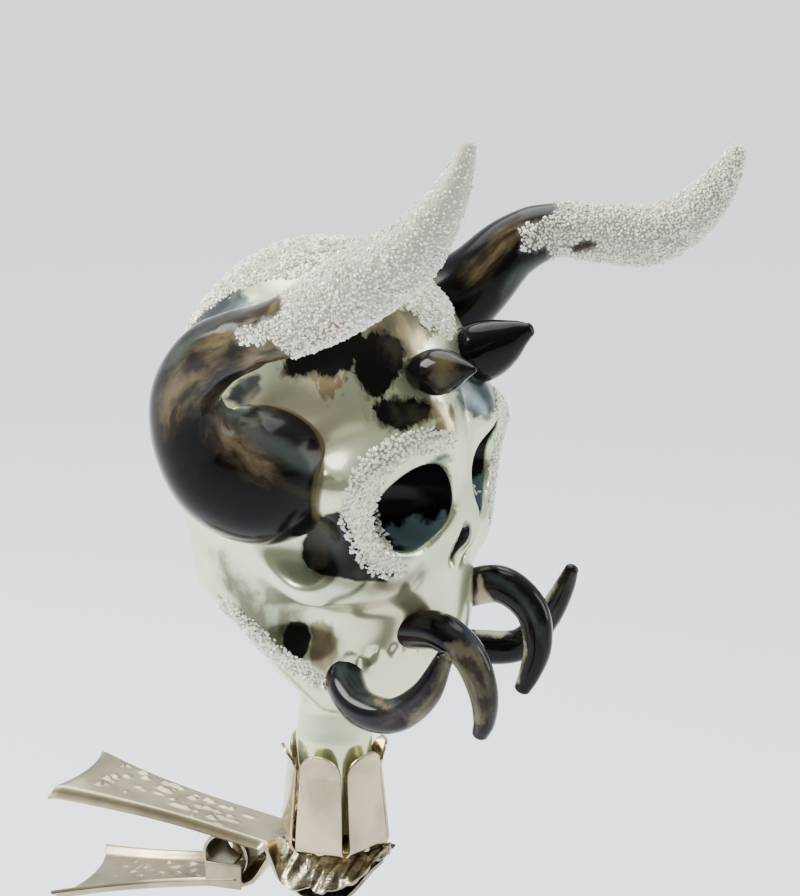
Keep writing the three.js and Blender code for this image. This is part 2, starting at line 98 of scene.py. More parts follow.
world = bpy.data.worlds.new("studio")
bpy.context.scene.world = world
world.use_nodes = True
tree = world.node_tree
tree.nodes.clear()
direction = new_nodes(tree, "ShaderNodeTexCoord").outputs["Generated"]
towards_light = new_nodes(tree, "ShaderNodeVectorMath", {0: direction, 1: LIGHTER_SIDE},
                          operation="DOT_PRODUCT").outputs["Value"]
lightness = new_nodes(tree, "ShaderNodeMapRange", {0: towards_light, 1: -0.9, 2: 1.0}).outputs[0]
shade = new_nodes(tree, "ShaderNodeValToRGB", {0: lightness})
for position, tint in SKY_TINTS:
    shade.color_ramp.elements.new(position).color = (*tint, 1)
shade.color_ramp.elements.remove(shade.color_ramp.elements[0])
shade.color_ramp.elements[-1].color = (*SKY_BRIGHTEST, 1)
sky = new_nodes(tree, "ShaderNodeBackground", {0: shade.outputs[0], 1: SKY_STRENGTH})
tree.links.new(sky.outputs[0], new_nodes(tree, "ShaderNodeOutputWorld").inputs[0])


def soft_light(name, place, power, width, depth, tint):
    """A soft box at a place in millimetres, turned to the ornament's middle."""
    bpy.ops.object.light_add(type="AREA", location=Vector(place) * MM)
    lamp = bpy.context.object
    lamp.name = name
    lamp.data.shape = "RECTANGLE"
    lamp.data.size = width * MM
    lamp.data.size_y = depth * MM
    lamp.data.energy = power
    lamp.data.color = tint
    lamp.rotation_euler = (lamp.location - Vector(ORNAMENT_MIDDLE) * MM).to_track_quat("Z", "Y").to_euler()


soft_light("window", (-260, 420, 420), 8.0, 300, 300, (1.0, 0.985, 0.93))
bpy.ops.object.light_add(type="SUN", location=Vector((220, 160, 700)) * MM)
skylight = bpy.context.object
skylight.name = "skylight"
skylight.data.energy = 3.9
skylight.data.angle = math.radians(55)
skylight.data.color = (0.99, 0.99, 0.98)
skylight.rotation_euler = skylight.location.to_track_quat("Z", "Y").to_euler()
soft_light("far_side", (380, -520, 260), 2.0, 200, 420, (0.95, 0.97, 1.0))

bpy.ops.object.camera_add(location=CAMERA_PLACE)
camera = bpy.context.object
camera.name = "photo_camera"
camera.rotation_euler = CAMERA_BACK.to_track_quat("Z", "Y").to_euler()
camera.data.lens = CAMERA_LENS
camera.data.clip_start = 0.01
camera.data.clip_end = 150
bpy.context.scene.camera = camera

# Skull
# Hollow glass blown into a two-part mould, silvered inside and sprayed with pearl lacquer, with
# its neck tube drawn out below it. It leans a little to its right on the neck.
HEAD_PIVOT = 20.9
HEAD_ROLL = math.radians(4)
NECK_BOTTOM = 3.1
NECK_PROFILE = ((3.1, 3.6), (9.98, 5.3), (14.6, 5.8), (18.4, 6.1), (20.4, 5.8), (23.4, 5.4), (37.4, 5.4))
SKULL_VOXEL = 0.43 * MM
SEAM = 0.002 * MM       # points closer than this are one
WALL_PLACE = (3.5, -23.6, 36.2)     # the thin wall between an eye and its nostril
WALL_RADIUS = 2.3
LEAN = np.array(Matrix.Rotation(-HEAD_ROLL, 3, "Y"))


def head_to_row(points):
    """Millimetres in the leaning head's own frame to metres in the row frame."""
    return (np.asarray(points, float) @ LEAN.T + (0, 0, HEAD_PIVOT)) * MM


def row_to_head(points):
    return (np.asarray(points, float) / MM - (0, 0, HEAD_PIVOT)) @ LEAN


def ball(x, y, z, rx, ry, rz):
    """Depth of points under an egg-shaped form, less than nothing inside it."""
    middle, radii = np.array((x, y, z)), np.array((rx, ry, rz))

    def depth(points):
        scaled = (points - middle) / radii
        near = np.linalg.norm(scaled, axis=1)
        return near * (near - 1) / np.maximum(np.linalg.norm(scaled / radii, axis=1), 1e-6)
    return depth


def bar(start, end, r1, r2):
    """Depth under a tapering round bar."""
    start, end = np.array(start, float), np.array(end, float)

    def depth(points):
        way = end - start
        share = np.clip((points - start) @ way / (way @ way), 0, 1)
        return np.linalg.norm(points - start - share[:, None] * way, axis=1) - (r1 + (r2 - r1) * share)
    return depth


def neck_tube(points):
    """Depth under the upright neck tube."""
    upright = head_to_row(points) / MM
    heights, radii = zip(*NECK_PROFILE)
    side = np.hypot(upright[:, 0], upright[:, 1]) - np.interp(upright[:, 2], heights, radii)
    return np.maximum(np.maximum(side, NECK_BOTTOM - upright[:, 2]), upright[:, 2] - NECK_PROFILE[-1][0])


def blend_two(a, b, k):
    """The lesser of two depths, with a fillet of about k where they meet."""
    return np.minimum(a, b) - np.maximum(k - np.abs(a - b), 0) ** 2 / (4 * k)


def join(k, *forms):
    """Forms melted together with a fillet of about k."""
    def depth(points):
        total = forms[0](points)
        for form in forms[1:]:
            total = blend_two(total, form(points), k)
        return total
    return depth


def carve(k, form, *cuts):
    def depth(points):
        total = form(points)
        for cut in cuts:
            total = -blend_two(-total, cut(points), k)
        return total
    return depth


def mirrored(form):
    return lambda points: form(np.column_stack((np.abs(points[:, 0]), points[:, 1:])))


cranium = join(9, ball(0, -1.2, 49.5, 24.5, 23.6, 27.4), ball(0, 4, 38, 17.5, 14.5, 15),
               ball(0, -9, 36, 18.5, 13.5, 15))
face = join(3.5, ball(0, -11.5, 22, 12.5, 12.3, 12), bar((6, -21.5, 50.5), (22, -16.5, 46.5), 4.2, 3.2),
            bar((11.5, -18, 30.5), (20, -11, 31), 3, 3.6), bar((20, -11, 31), (18, -1, 35), 3.6, 4),
            bar((22, -16.5, 45), (17.5, -16.5, 33), 2.6, 2.4), bar((0, -19.9, 44.5), (0, -23.3, 35), 2.6, 2.4))
jaw = join(6, ball(0, -3, 17, 13, 15, 12), bar((15, 6, 29), (11, -8, 12), 6, 5), ball(0, -10, 13, 8, 6, 6))
lens_hollow = ball(24.5, -11, 37, 3.6, 7, 5)
cheek_hollow = ball(21, -8, 22.5, 6.5, 9, 5.5)
right_eye = ball(-11, -23, 40.8, 7.4, 10, 6.6)
left_eye = ball(9.2, -23.8, 41.6, 9, 10, 7.8)
nostril = ball(1.9, -27, 32.4, 1.35, 5, 4.3)
bare_skull = mirrored(carve(2, join(6, cranium, face, jaw), lens_hollow, cheek_hollow))
blown_form = join(2.5, carve(0.8, bare_skull, right_eye, left_eye, mirrored(nostril)), neck_tube)


def slopes(form, points):
    """The way out of the form at each point, as unit vectors."""
    step = 0.05
    ways = np.zeros_like(points)
    for axis in range(3):
        shift = np.zeros(3)
        shift[axis] = step
        ways[:, axis] = form(points + shift) - form(points - shift)
    return ways / np.maximum(np.linalg.norm(ways, axis=1), 1e-9)[:, None]


def settle(form, points, rounds):
    """Points near a form's surface, moved on to it."""
    points = points.copy()
    for _ in range(rounds):
        points -= slopes(form, points) * (0.9 * form(points))[:, None]
    return points


def coordinates(piece):
    flat = np.empty(len(piece.data.vertices) * 3)
    piece.data.vertices.foreach_get("co", flat)
    return flat.reshape(-1, 3)


def set_coordinates(piece, points):
    piece.data.vertices.foreach_set("co", np.asarray(points, float).ravel())
    piece.data.update()


def only(piece):
    """Makes one object the selected and active one."""
    bpy.ops.object.select_all(action="DESELECT")
    piece.select_set(True)
    bpy.context.view_layer.objects.active = piece


def apply_modifier(piece, kind, **settings):
    only(piece)
    modifier = piece.modifiers.new(kind.lower(), kind)
    for key, value in settings.items():
        setattr(modifier, key, value)
    bpy.ops.object.modifier_apply(modifier=modifier.name)


def merged_copy(node, name):
    """A copy of a solid's mesh as a new piece, with its loose triangles sewn together."""
    piece = bpy.data.objects.new(name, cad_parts[node].data.copy())
    piece.data.materials.clear()
    bpy.context.scene.collection.objects.link(piece)
    only(piece)
    bpy.ops.object.mode_set(mode="EDIT")
    bpy.ops.mesh.select_all(action="SELECT")
    bpy.ops.mesh.remove_doubles(threshold=SEAM)
    bpy.ops.object.mode_set(mode="OBJECT")
    return piece


def joined(name, parts):
    bpy.ops.object.select_all(action="DESELECT")
    for part in parts:
        part.select_set(True)
    bpy.context.view_layer.objects.active = parts[0]
    bpy.ops.object.join()
    whole = bpy.context.object
    whole.name = name
    return whole


def store(piece, name, values):
    """Keeps one number for each vertex, for the piece's material to read."""
    piece.data.attributes.new(name, "FLOAT", "POINT").data.foreach_set("value", np.asarray(values, np.float32))


def smooth_faces(piece, crease=None):
    """Shades a piece smooth, but for edges that are sharper than a crease in degrees."""
    only(piece)
    if crease is None:
        bpy.ops.object.shade_smooth()
    else:
        bpy.ops.object.shade_smooth_by_angle(angle=math.radians(crease))


skull = merged_copy("skull", "skull_glass")
walls = [skull]
for side in (-1, 1):
    place = head_to_row((side * WALL_PLACE[0], *WALL_PLACE[1:]))
    bpy.ops.mesh.primitive_uv_sphere_add(segments=24, ring_count=16, radius=WALL_RADIUS * MM, location=place)
    walls.append(bpy.context.object)
skull = joined("skull_glass", walls)
apply_modifier(skull, "REMESH", mode="VOXEL", voxel_size=SKULL_VOXEL)
apply_modifier(skull, "SMOOTH", factor=0.5, iterations=6)
for evening_out in (16, 8, 3):
    set_coordinates(skull, head_to_row(settle(blown_form, row_to_head(coordinates(skull)), 3)))
    apply_modifier(skull, "SMOOTH", factor=0.5, iterations=evening_out)
set_coordinates(skull, head_to_row(settle(blown_form, row_to_head(coordinates(skull)), 2)))
smooth_faces(skull)
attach(skull, "ornament")
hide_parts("skull")

# Paint on the skull
# Lacquer is dabbed and brushed over the pearl by hand: black blots, smoky patches, and tan where
# the brush ran dry. Some marks are painted light: the smoky patch between the right horn and the
# crown is the horn's painted shadow, a dark band under the cheekbone is painted shade, and the teal
# in the sockets is painted reflection. The outlines are in millimetres on a flat sheet held against
# the right front.
ACROSS = np.array((0.5, -0.866, 0.0))
UPWARD = np.array((0.18, 0.104, 0.978))
TOWARD = np.array((-0.847, -0.489, 0.208))
SKULL_MARKS = {
    "black": (
        ((-6.1, 73.4), (-6.1, 76.8), (-0.2, 80.7), (5, 81.8), (5.3, 77.9), (4.3, 75.4), (3.4, 74.1),
         (2.5, 74.4), (1.7, 73.3), (0, 73.3), (-1.6, 74.1), (-3.2, 73), (-4.5, 73.3)),
        ((3.6, 78.6), (5, 79.4), (7, 79.9), (9, 79.7), (10.3, 78.7), (11, 77), (11.1, 75.3), (10.1, 73.4),
         (8.8, 71.8), (7.4, 70.3), (6, 70.3), (4.9, 71.7), (4.2, 73.7), (3.8, 76)),
        ((6.3, 69.1), (7.4, 69.9), (9.3, 70.2), (11.6, 70.2), (13.8, 69.8), (15, 68.9), (14.4, 67.4),
         (12.7, 66.5), (11.2, 65.7), (9.3, 65.8), (7.7, 66.5), (6.7, 67.7)),
    ),
    "pooled": (
        ((-3.7, 47.5), (-3.5, 49.6), (-2.8, 51.6), (-1.7, 53), (-0.1, 54), (1.9, 54.5), (3.1, 52.5),
         (4.2, 49.6), (5.6, 47.1), (7.3, 45.3), (10.4, 45.4), (8.2, 44), (5, 44.3), (1.9, 44.8), (-1, 45.2),
         (-2.9, 46.1)),
        ((-7, 35.6), (-6, 37.4), (-4.5, 37.7), (-3.3, 37), (-2.7, 35.2), (-3.1, 33), (-4.4, 31.8),
         (-6.1, 32.6), (-7, 34)),
    ),
    "smoke_and_horn_shadow": (
        ((18, 73.5), (19.2, 74.4), (21.9, 73.6), (24, 73.1), (25.6, 71.7), (25.2, 70.2), (24.5, 68.6),
         (23.4, 67.4), (21.4, 67.7), (19.4, 68.5), (18.4, 70.2)),
        ((-21.9, 79.1), (-20.3, 81.7), (-18.5, 84.8), (-16.7, 85.8), (-13.4, 86.1), (-11.2, 85.2),
         (-9.1, 84.2), (-13.3, 82.1), (-17.2, 80.7), (-19.6, 79.4)),
        ((14.6, 61.1), (15.5, 62.2), (16.9, 62.9), (18.1, 62.5), (17.9, 61.7), (16.5, 61.3)),
        ((-15, 70.1), (-12.3, 72.9), (-9.5, 74.2), (-9.1, 73.2), (-9.7, 70.8), (-10.8, 68.5), (-13, 69.5)),
    ),
    "tan": (
        ((4.7, 79.4), (5.3, 81.2), (7, 82.4), (9.3, 83.2), (11.8, 83.5), (14.5, 82.9), (15.7, 81.7),
         (15.3, 79.8), (14.1, 78), (13, 76.5), (11.8, 75.6), (10.8, 76.4), (9.8, 78.1), (8.1, 79.2),
         (6.4, 79.5)),
        ((7.6, 69.8), (9.8, 70.4), (12.5, 70.3), (15.3, 70), (17, 69.5), (17.6, 68.3), (16.4, 67.3),
         (14.4, 66.7), (12.4, 66.4), (11, 67), (9.3, 68.4)),
        ((14.4, 65.6), (15.8, 67.3), (17.5, 69.6), (18.3, 69.1), (18, 66.6), (18.6, 65.4), (16.8, 65)),
        ((-3.6, 37.4), (-1.8, 37.8), (0, 37.5), (1.2, 36.1), (1.7, 33.7), (0.9, 31.3), (-0.9, 30.1),
         (-2.6, 31), (-3.5, 32.5), (-2.7, 34.8)),
    ),
    "shade_under_cheekbone": (
        ((-1.5, 45.6), (1.9, 45), (5, 44.4), (8.2, 44.2), (10.6, 44.6), (12.7, 45.6), (13.6, 46.4),
         (13.4, 44.8), (11.6, 43.4), (9.4, 42.4), (6.4, 42), (3.2, 42.8), (0.4, 44)),
    ),
    "wash": (
        ((-8.5, 71), (-4.6, 73), (1.5, 73), (6, 70.5), (8, 66.5), (4, 63), (1, 58.5), (-0.5, 53.5),
         (-3, 52.5), (-4.5, 56), (-6, 60), (-8, 65)),
        ((3, 41), (9, 41.5), (14, 40.5), (16.5, 37), (14, 34.5), (8, 35), (4, 37)),
    ),
    "copper": (
        ((-2, 74), (-1.1, 74.3), (0.8, 73.7), (3.1, 73.7), (2, 71.7), (0.3, 70), (-1.3, 71.2)),
    ),
    "olive": (
        ((-3.5, 47.2), (-3.5, 49.6), (-2.8, 51.6), (-1.7, 53), (-0.5, 53.9), (0.5, 51.7), (0.4, 47.3),
         (-0.7, 45.9), (-2.5, 46.1)),
        ((7.3, 79.5), (9.3, 79.5), (10.7, 78.1), (11, 75.8), (9.8, 74.9), (8.7, 76.3), (7.6, 77.8)),
        ((9.4, 69.7), (13, 69.8), (15, 69), (14.4, 67.6), (12.6, 66.8), (10.8, 66.6), (9.4, 67.6)),
        ((5, 45.8), (8.2, 45.2), (9.8, 45), (7.8, 44.2), (5, 44.6), (3, 45.2)),
    ),
    "jaw_brown": (
        ((-16.9, 47.4), (-15, 48.1), (-13, 44.7), (-9.9, 40.9), (-6.7, 39.9), (-4.4, 39.9), (-4.5, 37),
         (-6.3, 34.7), (-4.4, 31.8), (0, 28.9), (2.2, 27.4), (-2.2, 28.1), (-7.4, 32.5), (-12, 35.3),
         (-16.1, 39.9)),
    ),
    "socket_reflection": (
        ((8.1, 51.3), (9.1, 52.1), (10.1, 51.5), (11.1, 52.2), (12.2, 53.3), (13.3, 53), (14.4, 52.1),
         (15.7, 52.7), (16.6, 53.9), (17.1, 52.7), (16.5, 50.7), (15.2, 49.1), (13.3, 48.5), (11.3, 48.6),
         (9.5, 49.6)),
        ((19.4, 58.9), (20.4, 57.9), (21.7, 58.3), (23.9, 59.9), (25.1, 61.1), (25.3, 58.3), (24.8, 55.8),
         (23, 54.1), (20.7, 55.1), (19.5, 56.8)),
    ),
}
TEETH = (
    ((1.2, 31.6), (2.1, 33.1), (3.6, 33.4), (4.8, 32.5), (4.8, 30.7), (3.6, 29.5), (2.1, 29.8)),
    ((5.1, 32.5), (6, 33.9), (7.4, 34), (8.3, 32.9), (8, 31.1), (6.8, 30.2), (5.5, 30.7)),
    ((8.6, 33.1), (9.5, 34.5), (10.8, 34.5), (11.4, 33.4), (11.1, 31.6), (10, 30.7), (8.9, 31.5)),
    ((11.6, 33.7), (12.3, 34.9), (13.5, 34.7), (14, 33.4), (13.5, 32), (12.5, 31.6), (11.7, 32.4)),
)
TOOTH_RISE = 0.3        # how far the moulded teeth stand out, in millimetres
TOOTH_EDGE = 0.7        # over how much of a tooth's rim it rises
TURNED_AWAY = -0.05     # a surface that faces the sheet less than this isn't marked
FAR_SIDE = 12.0         # further to the left than this, the marks are the right side's, mirrored
UNPAINTED = -6.0        # the depth given to places that no mark is near


def inside(outline, flat):
    """How far inside an outline each flat point is, in millimetres; less than nothing outside."""
    ring = np.array(outline, float)
    nearest = np.full(len(flat), 1e9)
    within = np.zeros(len(flat), bool)
    for a, b in zip(ring, np.roll(ring, -1, axis=0)):
        way = b - a
        share = np.clip((flat - a) @ way / (way @ way), 0, 1)
        nearest = np.minimum(nearest, np.linalg.norm(flat - a - share[:, None] * way, axis=1))
        crosses = (a[1] > flat[:, 1]) != (b[1] > flat[:, 1])
        run = a[0] + (flat[:, 1] - a[1]) * way[0] / (way[1] if abs(way[1]) > 1e-9 else 1e-9)
        within ^= crosses & (flat[:, 0] < run)
    return np.where(within, nearest, -nearest)


def marked(outlines, places):
    """How far inside any of the outlines each place is, as thrown on to it along TOWARD."""
    flat = np.column_stack((places @ ACROSS, places @ UPWARD))
    depth = np.full(len(places), UNPAINTED)
    for outline in outlines:
        depth = np.maximum(depth, inside(outline, flat))
    return depth


def skull_marks(outlines, head_places, head_ways):
    """The same for the skull: only on the side that faces the sheet, and mirrored on the left."""
    left = head_places[:, 0] > FAR_SIDE
    flip = np.where(left, -1.0, 1.0)[:, None] * np.array((1, 0, 0)) + np.array((0, 1, 1))
    depth = marked(outlines, head_to_row(head_places * flip) / MM)
    turned = (head_ways * flip) @ LEAN.T @ TOWARD
    plain = marked(outlines, head_to_row(head_places) / MM)
    turned_plain = head_ways @ LEAN.T @ TOWARD
    depth = np.where(turned > TURNED_AWAY, depth, UNPAINTED)
    plain = np.where(turned_plain > TURNED_AWAY, plain, UNPAINTED)
    return np.maximum(depth, np.where(left, plain, UNPAINTED))


skull_places = row_to_head(coordinates(skull))
skull_ways = slopes(blown_form, skull_places)
tooth_depth = skull_marks(TEETH, skull_places, skull_ways)
skull_places = skull_places + skull_ways * (TOOTH_RISE * np.clip(tooth_depth / TOOTH_EDGE, 0, 1))[:, None]
set_coordinates(skull, head_to_row(skull_places))
for name, outlines in SKULL_MARKS.items():
    store(skull, name, skull_marks(outlines, skull_places, skull_ways))
store(skull, "hollow", -bare_skull(skull_places))

torn_edge = bpy.data.node_groups.new("torn_edge", "ShaderNodeTree")
for label, kind, value in (("Depth", "NodeSocketFloat", 0.0), ("Place", "NodeSocketVector", (0, 0, 0)),
                           ("Scale", "NodeSocketFloat", 900.0), ("Ragged", "NodeSocketFloat", 1.0),
                           ("Soft", "NodeSocketFloat", 0.2)):
    torn_edge.interface.new_socket(name=label, in_out="INPUT", socket_type=kind).default_value = value
torn_edge.interface.new_socket(name="Mask", in_out="OUTPUT", socket_type="NodeSocketFloat")
given = new_nodes(torn_edge, "NodeGroupInput").outputs
rough = new_nodes(torn_edge, "ShaderNodeTexNoise", {
    "Vector": given["Place"], "Scale": given["Scale"], "Detail": 5.0, "Roughness": 0.65}).outputs[0]
centred = new_nodes(torn_edge, "ShaderNodeMath", {0: rough, 1: 0.5}, operation="SUBTRACT").outputs[0]
doubled = new_nodes(torn_edge, "ShaderNodeMath", {0: centred, 1: 2.4}, operation="MULTIPLY").outputs[0]
shifted = new_nodes(torn_edge, "ShaderNodeMath", {0: doubled, 1: given["Ragged"], 2: given["Depth"]},
                    operation="MULTIPLY_ADD").outputs[0]
low = new_nodes(torn_edge, "ShaderNodeMath", {0: given["Soft"], 1: -1.0}, operation="MULTIPLY").outputs[0]
mask = new_nodes(torn_edge, "ShaderNodeMapRange", {0: shifted, 1: low, 2: given["Soft"]},
                 interpolation_type="SMOOTHSTEP").outputs[0]
torn_edge.links.new(mask, new_nodes(torn_edge, "NodeGroupOutput").inputs["Mask"])


def place_of(tree, stretch=(1, 1, 1), turn=(0, 0, 0)):
    """Where a texture is read: the piece's own place, or along and round a drawn rod for "drawn"."""
    if stretch == "drawn":
        return new_nodes(tree, "ShaderNodeAttribute", attribute_name="drawn").outputs["Vector"]
    spot = new_nodes(tree, "ShaderNodeTexCoord").outputs["Object"]
    return new_nodes(tree, "ShaderNodeMapping", {"Vector": spot, "Scale": stretch, "Rotation": turn}).outputs[0]


def torn(tree, mark, scale=900.0, ragged=1.0, soft=0.2, stretch=(1, 1, 1), turn=(0, 0, 0)):
    """A mask with a brushed edge for the mark kept under that name, or for a depth socket."""
    group = new_nodes(tree, "ShaderNodeGroup")
    group.node_tree = torn_edge
    depth = mark
    if isinstance(mark, str):
        depth = new_nodes(tree, "ShaderNodeAttribute", attribute_name=mark).outputs["Fac"]
    tree.links.new(depth, group.inputs["Depth"])
    tree.links.new(place_of(tree, stretch, turn), group.inputs["Place"])
    for label, value in (("Scale", scale), ("Ragged", ragged), ("Soft", soft)):
        group.inputs[label].default_value = value
    return group.outputs["Mask"]


def cloud(tree, scale, low, high, stretch=(1, 1, 1), turn=(0, 0, 0), detail=3.0):
    """Soft clouds from 0 to 1 over the piece."""
    noise = new_nodes(tree, "ShaderNodeTexNoise", {"Vector": place_of(tree, stretch, turn), "Scale": scale,
                                                   "Detail": detail}).outputs[0]
    return new_nodes(tree, "ShaderNodeMapRange", {0: noise, 1: low, 2: high},
                     interpolation_type="SMOOTHSTEP").outputs[0]


def times(tree, a, b):
    """The product of two masks, or of a mask and a number."""
    return new_nodes(tree, "ShaderNodeMath", {0: a, 1: b}, operation="MULTIPLY").outputs[0]


def over(tree, under, colour, mask):
    """One colour laid over another by a mask. A colour is a socket or three numbers."""
    layer = new_nodes(tree, "ShaderNodeMix", data_type="RGBA")
    for index, value in ((0, mask), (6, under), (7, colour)):
        if isinstance(value, bpy.types.NodeSocket):
            tree.links.new(value, layer.inputs[index])
        elif index == 0:
            layer.inputs[index].default_value = value
        else:
            layer.inputs[index].default_value = (*value, 1)
    return layer.outputs[2]


def either(tree, a, b):
    """The greater of two masks."""
    return new_nodes(tree, "ShaderNodeMath", {0: a, 1: b}, operation="MAXIMUM").outputs[0]


def dab(tree, under, colour, share, *mark, **edge):
    """A share of one colour laid over another inside a torn mark."""
    return over(tree, under, colour, times(tree, torn(tree, *mark, **edge), share))


def blend_value(tree, a, b, mask):
    """A plain number that turns from a to b where the mask is."""
    return new_nodes(tree, "ShaderNodeMix", {0: mask, 2: a, 3: b}).outputs[0]


def finish_material(tree, colour, roughness, metallic, bump=None, **fixed):
    """The shader and its output, with the linked values and the fixed ones."""
    shader = new_nodes(tree, "ShaderNodeBsdfPrincipled", {"Base Color": colour, "Roughness": roughness,
                                                          "Metallic": metallic})
    for key, value in fixed.items():
        shader.inputs[key.replace("_", " ").title().replace("Ior", "IOR")].default_value = value
    if bump is not None:
        tree.links.new(bump, shader.inputs["Normal"])
    tree.links.new(shader.outputs[0], new_nodes(tree, "ShaderNodeOutputMaterial").inputs[0])
    return shader


pearl = blank_material("pearl_lacquer_on_silvered_glass")
tree = pearl.node_tree
greenish = cloud(tree, 38, 0.4, 0.62)
rosy = cloud(tree, 55, 0.55, 0.72, turn=(1, 2, 0))
# Soft darker grey clouds over the pearl are painted reflection.
painted_dark_reflections = cloud(tree, 75, 0.54, 0.78, turn=(2, 0, 1))
colour = over(tree, (0.68, 0.71, 0.46), (0.54, 0.63, 0.44), greenish)
colour = over(tree, colour, (0.70, 0.58, 0.38), times(tree, rosy, 0.6))
colour = over(tree, colour, (0.28, 0.29, 0.22), times(tree, painted_dark_reflections, 0.5))
jaw_streaks = cloud(tree, 260, 0.3, 0.6, stretch=(1, 1, 0.16))
brown = times(tree, torn(tree, "jaw_brown", 250, 3.0, 2.0), jaw_streaks)
colour = over(tree, colour, (0.10, 0.085, 0.055), times(tree, brown, 0.9))
# The smoke marks are smoky grey lacquer, but the one between the right horn and the crown is the horn's painted
# shadow.
smoke_and_horn_shadow_mask = torn(tree, "smoke_and_horn_shadow", 500, 1.2, 0.5, stretch=(0.35, 0.35, 1))
smoke_and_shadow_tint = over(tree, (0.05, 0.065, 0.07), (0.13, 0.145, 0.13), cloud(tree, 300, 0.42, 0.7))
colour = over(tree, colour, smoke_and_shadow_tint, smoke_and_horn_shadow_mask)
colour = dab(tree, colour, (0.56, 0.50, 0.34), 0.75, "wash", 90, 3.0, 3.0)
# A dark band under the cheekbone is painted shade.
colour = dab(tree, colour, (0.19, 0.17, 0.11), 0.85, "shade_under_cheekbone", 200, 0.4, 0.9)
dry_brush = cloud(tree, 420, 0.38, 0.62, stretch=(1, 1, 0.35))
tan_tint = over(tree, (0.25, 0.19, 0.105), (0.09, 0.065, 0.035), dry_brush)
colour = dab(tree, colour, tan_tint, 0.9, "tan", 700, 1.6, 0.5, stretch=(1, 1, 0.3), turn=(0.5, 0.5, 0))
colour = dab(tree, colour, (0.26, 0.115, 0.05), 0.7, "copper", 1500, 3.2, 0.5, stretch=(1, 1, 0.4))
colour = dab(tree, colour, (0.085, 0.065, 0.035), 0.85, "black", 600, 2.6, 1.0, stretch=(1, 1, 0.5))
thin = times(tree, torn(tree, "olive", 450, 1.8, 0.8),
             cloud(tree, 380, 0.3, 0.6, stretch=(1, 1, 0.4), detail=5.0))
black_tint = over(tree, (0.004, 0.0035, 0.003), (0.028, 0.024, 0.015), times(tree, thin, 0.9))
colour = dab(tree, colour, (0.05, 0.042, 0.025), 0.7, "pooled", 300, 0.7, 1.0)
black = torn(tree, "black", 900, 1.3, 0.35, stretch=(1, 1, 0.6))
blots = either(tree, black, torn(tree, "pooled", 300, 0.5, 0.2))
colour = over(tree, colour, black_tint, blots)
pit = new_nodes(tree, "ShaderNodeAttribute", attribute_name="hollow").outputs["Fac"]
pit_mask = new_nodes(tree, "ShaderNodeMapRange", {0: pit, 1: 0.5, 2: 0.8}).outputs[0]
colour = over(tree, colour, (0.003, 0.003, 0.004), pit_mask)
# Teal at the bottom of the eye sockets is painted reflection.
colour = over(tree, colour, (0.10, 0.15, 0.17), times(tree, torn(tree, "socket_reflection", 500, 1.2, 0.5), pit_mask))
painted = either(tree, blots, pit_mask)
finish_material(tree, colour, blend_value(tree, 0.23, 0.2, painted), blend_value(tree, 0.82, 0.0, painted),
                specular_ior_level=0.14)
skull.data.materials.append(pearl)

# Horns
# Thick clear glass drawn to a point while hot, coloured inside, and melted on to the temples.
# Each is shaped by hand, so the two differ. Points are x, y, z and radius in the head's frame.
HORN_RIGHT = ((-17, -5, 47, 10.4), (-24.5, -4.6, 47.6, 10.3), (-30.5, -2.8, 50.5, 8.6),
              (-34.5, -1.4, 55.4, 6.2), (-37.5, -2.6, 62, 4.8), (-40, -8.6, 68.2, 4.6),
              (-41.5, -16.4, 71.8, 4.2), (-42.5, -22.9, 74.1, 4.4), (-43, -29, 77.1, 4.9),
              (-43, -34.9, 80.6, 5.1), (-42.8, -41.5, 84.8, 4.4), (-42.3, -45.3, 89.4, 3.3),
              (-41.7, -47.6, 93.5, 2.3), (-41, -48.9, 97.6, 1.5))
HORN_LEFT = ((15, 1.5, 52, 9.8), (20.5, -1.5, 56, 9.4), (22, -8.5, 61.5, 7.6), (24, -14.6, 66.8, 6),
             (28.5, -18.6, 71.6, 5), (32.5, -23.6, 74, 4.5), (36.5, -30.2, 73.2, 4.7), (40.5, -37, 72.6, 4.9),
             (44, -42.6, 75.8, 4.1), (46.5, -46.3, 80.8, 2.9), (48, -48.4, 85.2, 1.5))
STREAK_STRETCH = 0.22   # streaks are drawn out along the rod by one over this
FROST_BED = 0.35        # how much thinner the glass is made under the frost, in millimetres
FROST_FROM = 0.5        # from what share of the horn's length


def smooth_path(points, count):
    """A smooth curve through points, as evenly spaced samples of x, y, z and radius."""
    knots = np.array(points, float)
    knots = np.vstack((2 * knots[0] - knots[1], knots, 2 * knots[-1] - knots[-2]))
    samples = []
    for i in range(1, len(knots) - 2):
        q = knots[i - 1:i + 3]
        gaps = np.maximum(np.linalg.norm(np.diff(q[:, :3], axis=0), axis=1) ** 0.5, 1e-4)
        leave = (q[1] - q[0]) / gaps[0] - (q[2] - q[0]) / (gaps[0] + gaps[1]) + (q[2] - q[1]) / gaps[1]
        arrive = (q[2] - q[1]) / gaps[1] - (q[3] - q[1]) / (gaps[1] + gaps[2]) + (q[3] - q[2]) / gaps[2]
        leave, arrive = leave * gaps[1], arrive * gaps[1]
        for t in np.linspace(0, 1, 24, endpoint=False):
            samples.append(q[1] + leave * t + (3 * (q[2] - q[1]) - 2 * leave - arrive) * t ** 2
                           + (2 * (q[1] - q[2]) + leave + arrive) * t ** 3)
    samples.append(knots[-2])
    samples = np.array(samples)
    run = np.concatenate(((0,), np.cumsum(np.linalg.norm(np.diff(samples[:, :3], axis=0), axis=1))))
    stations = np.linspace(0, run[-1], count)
    return np.column_stack([np.interp(stations, run, samples[:, k]) for k in range(4)])


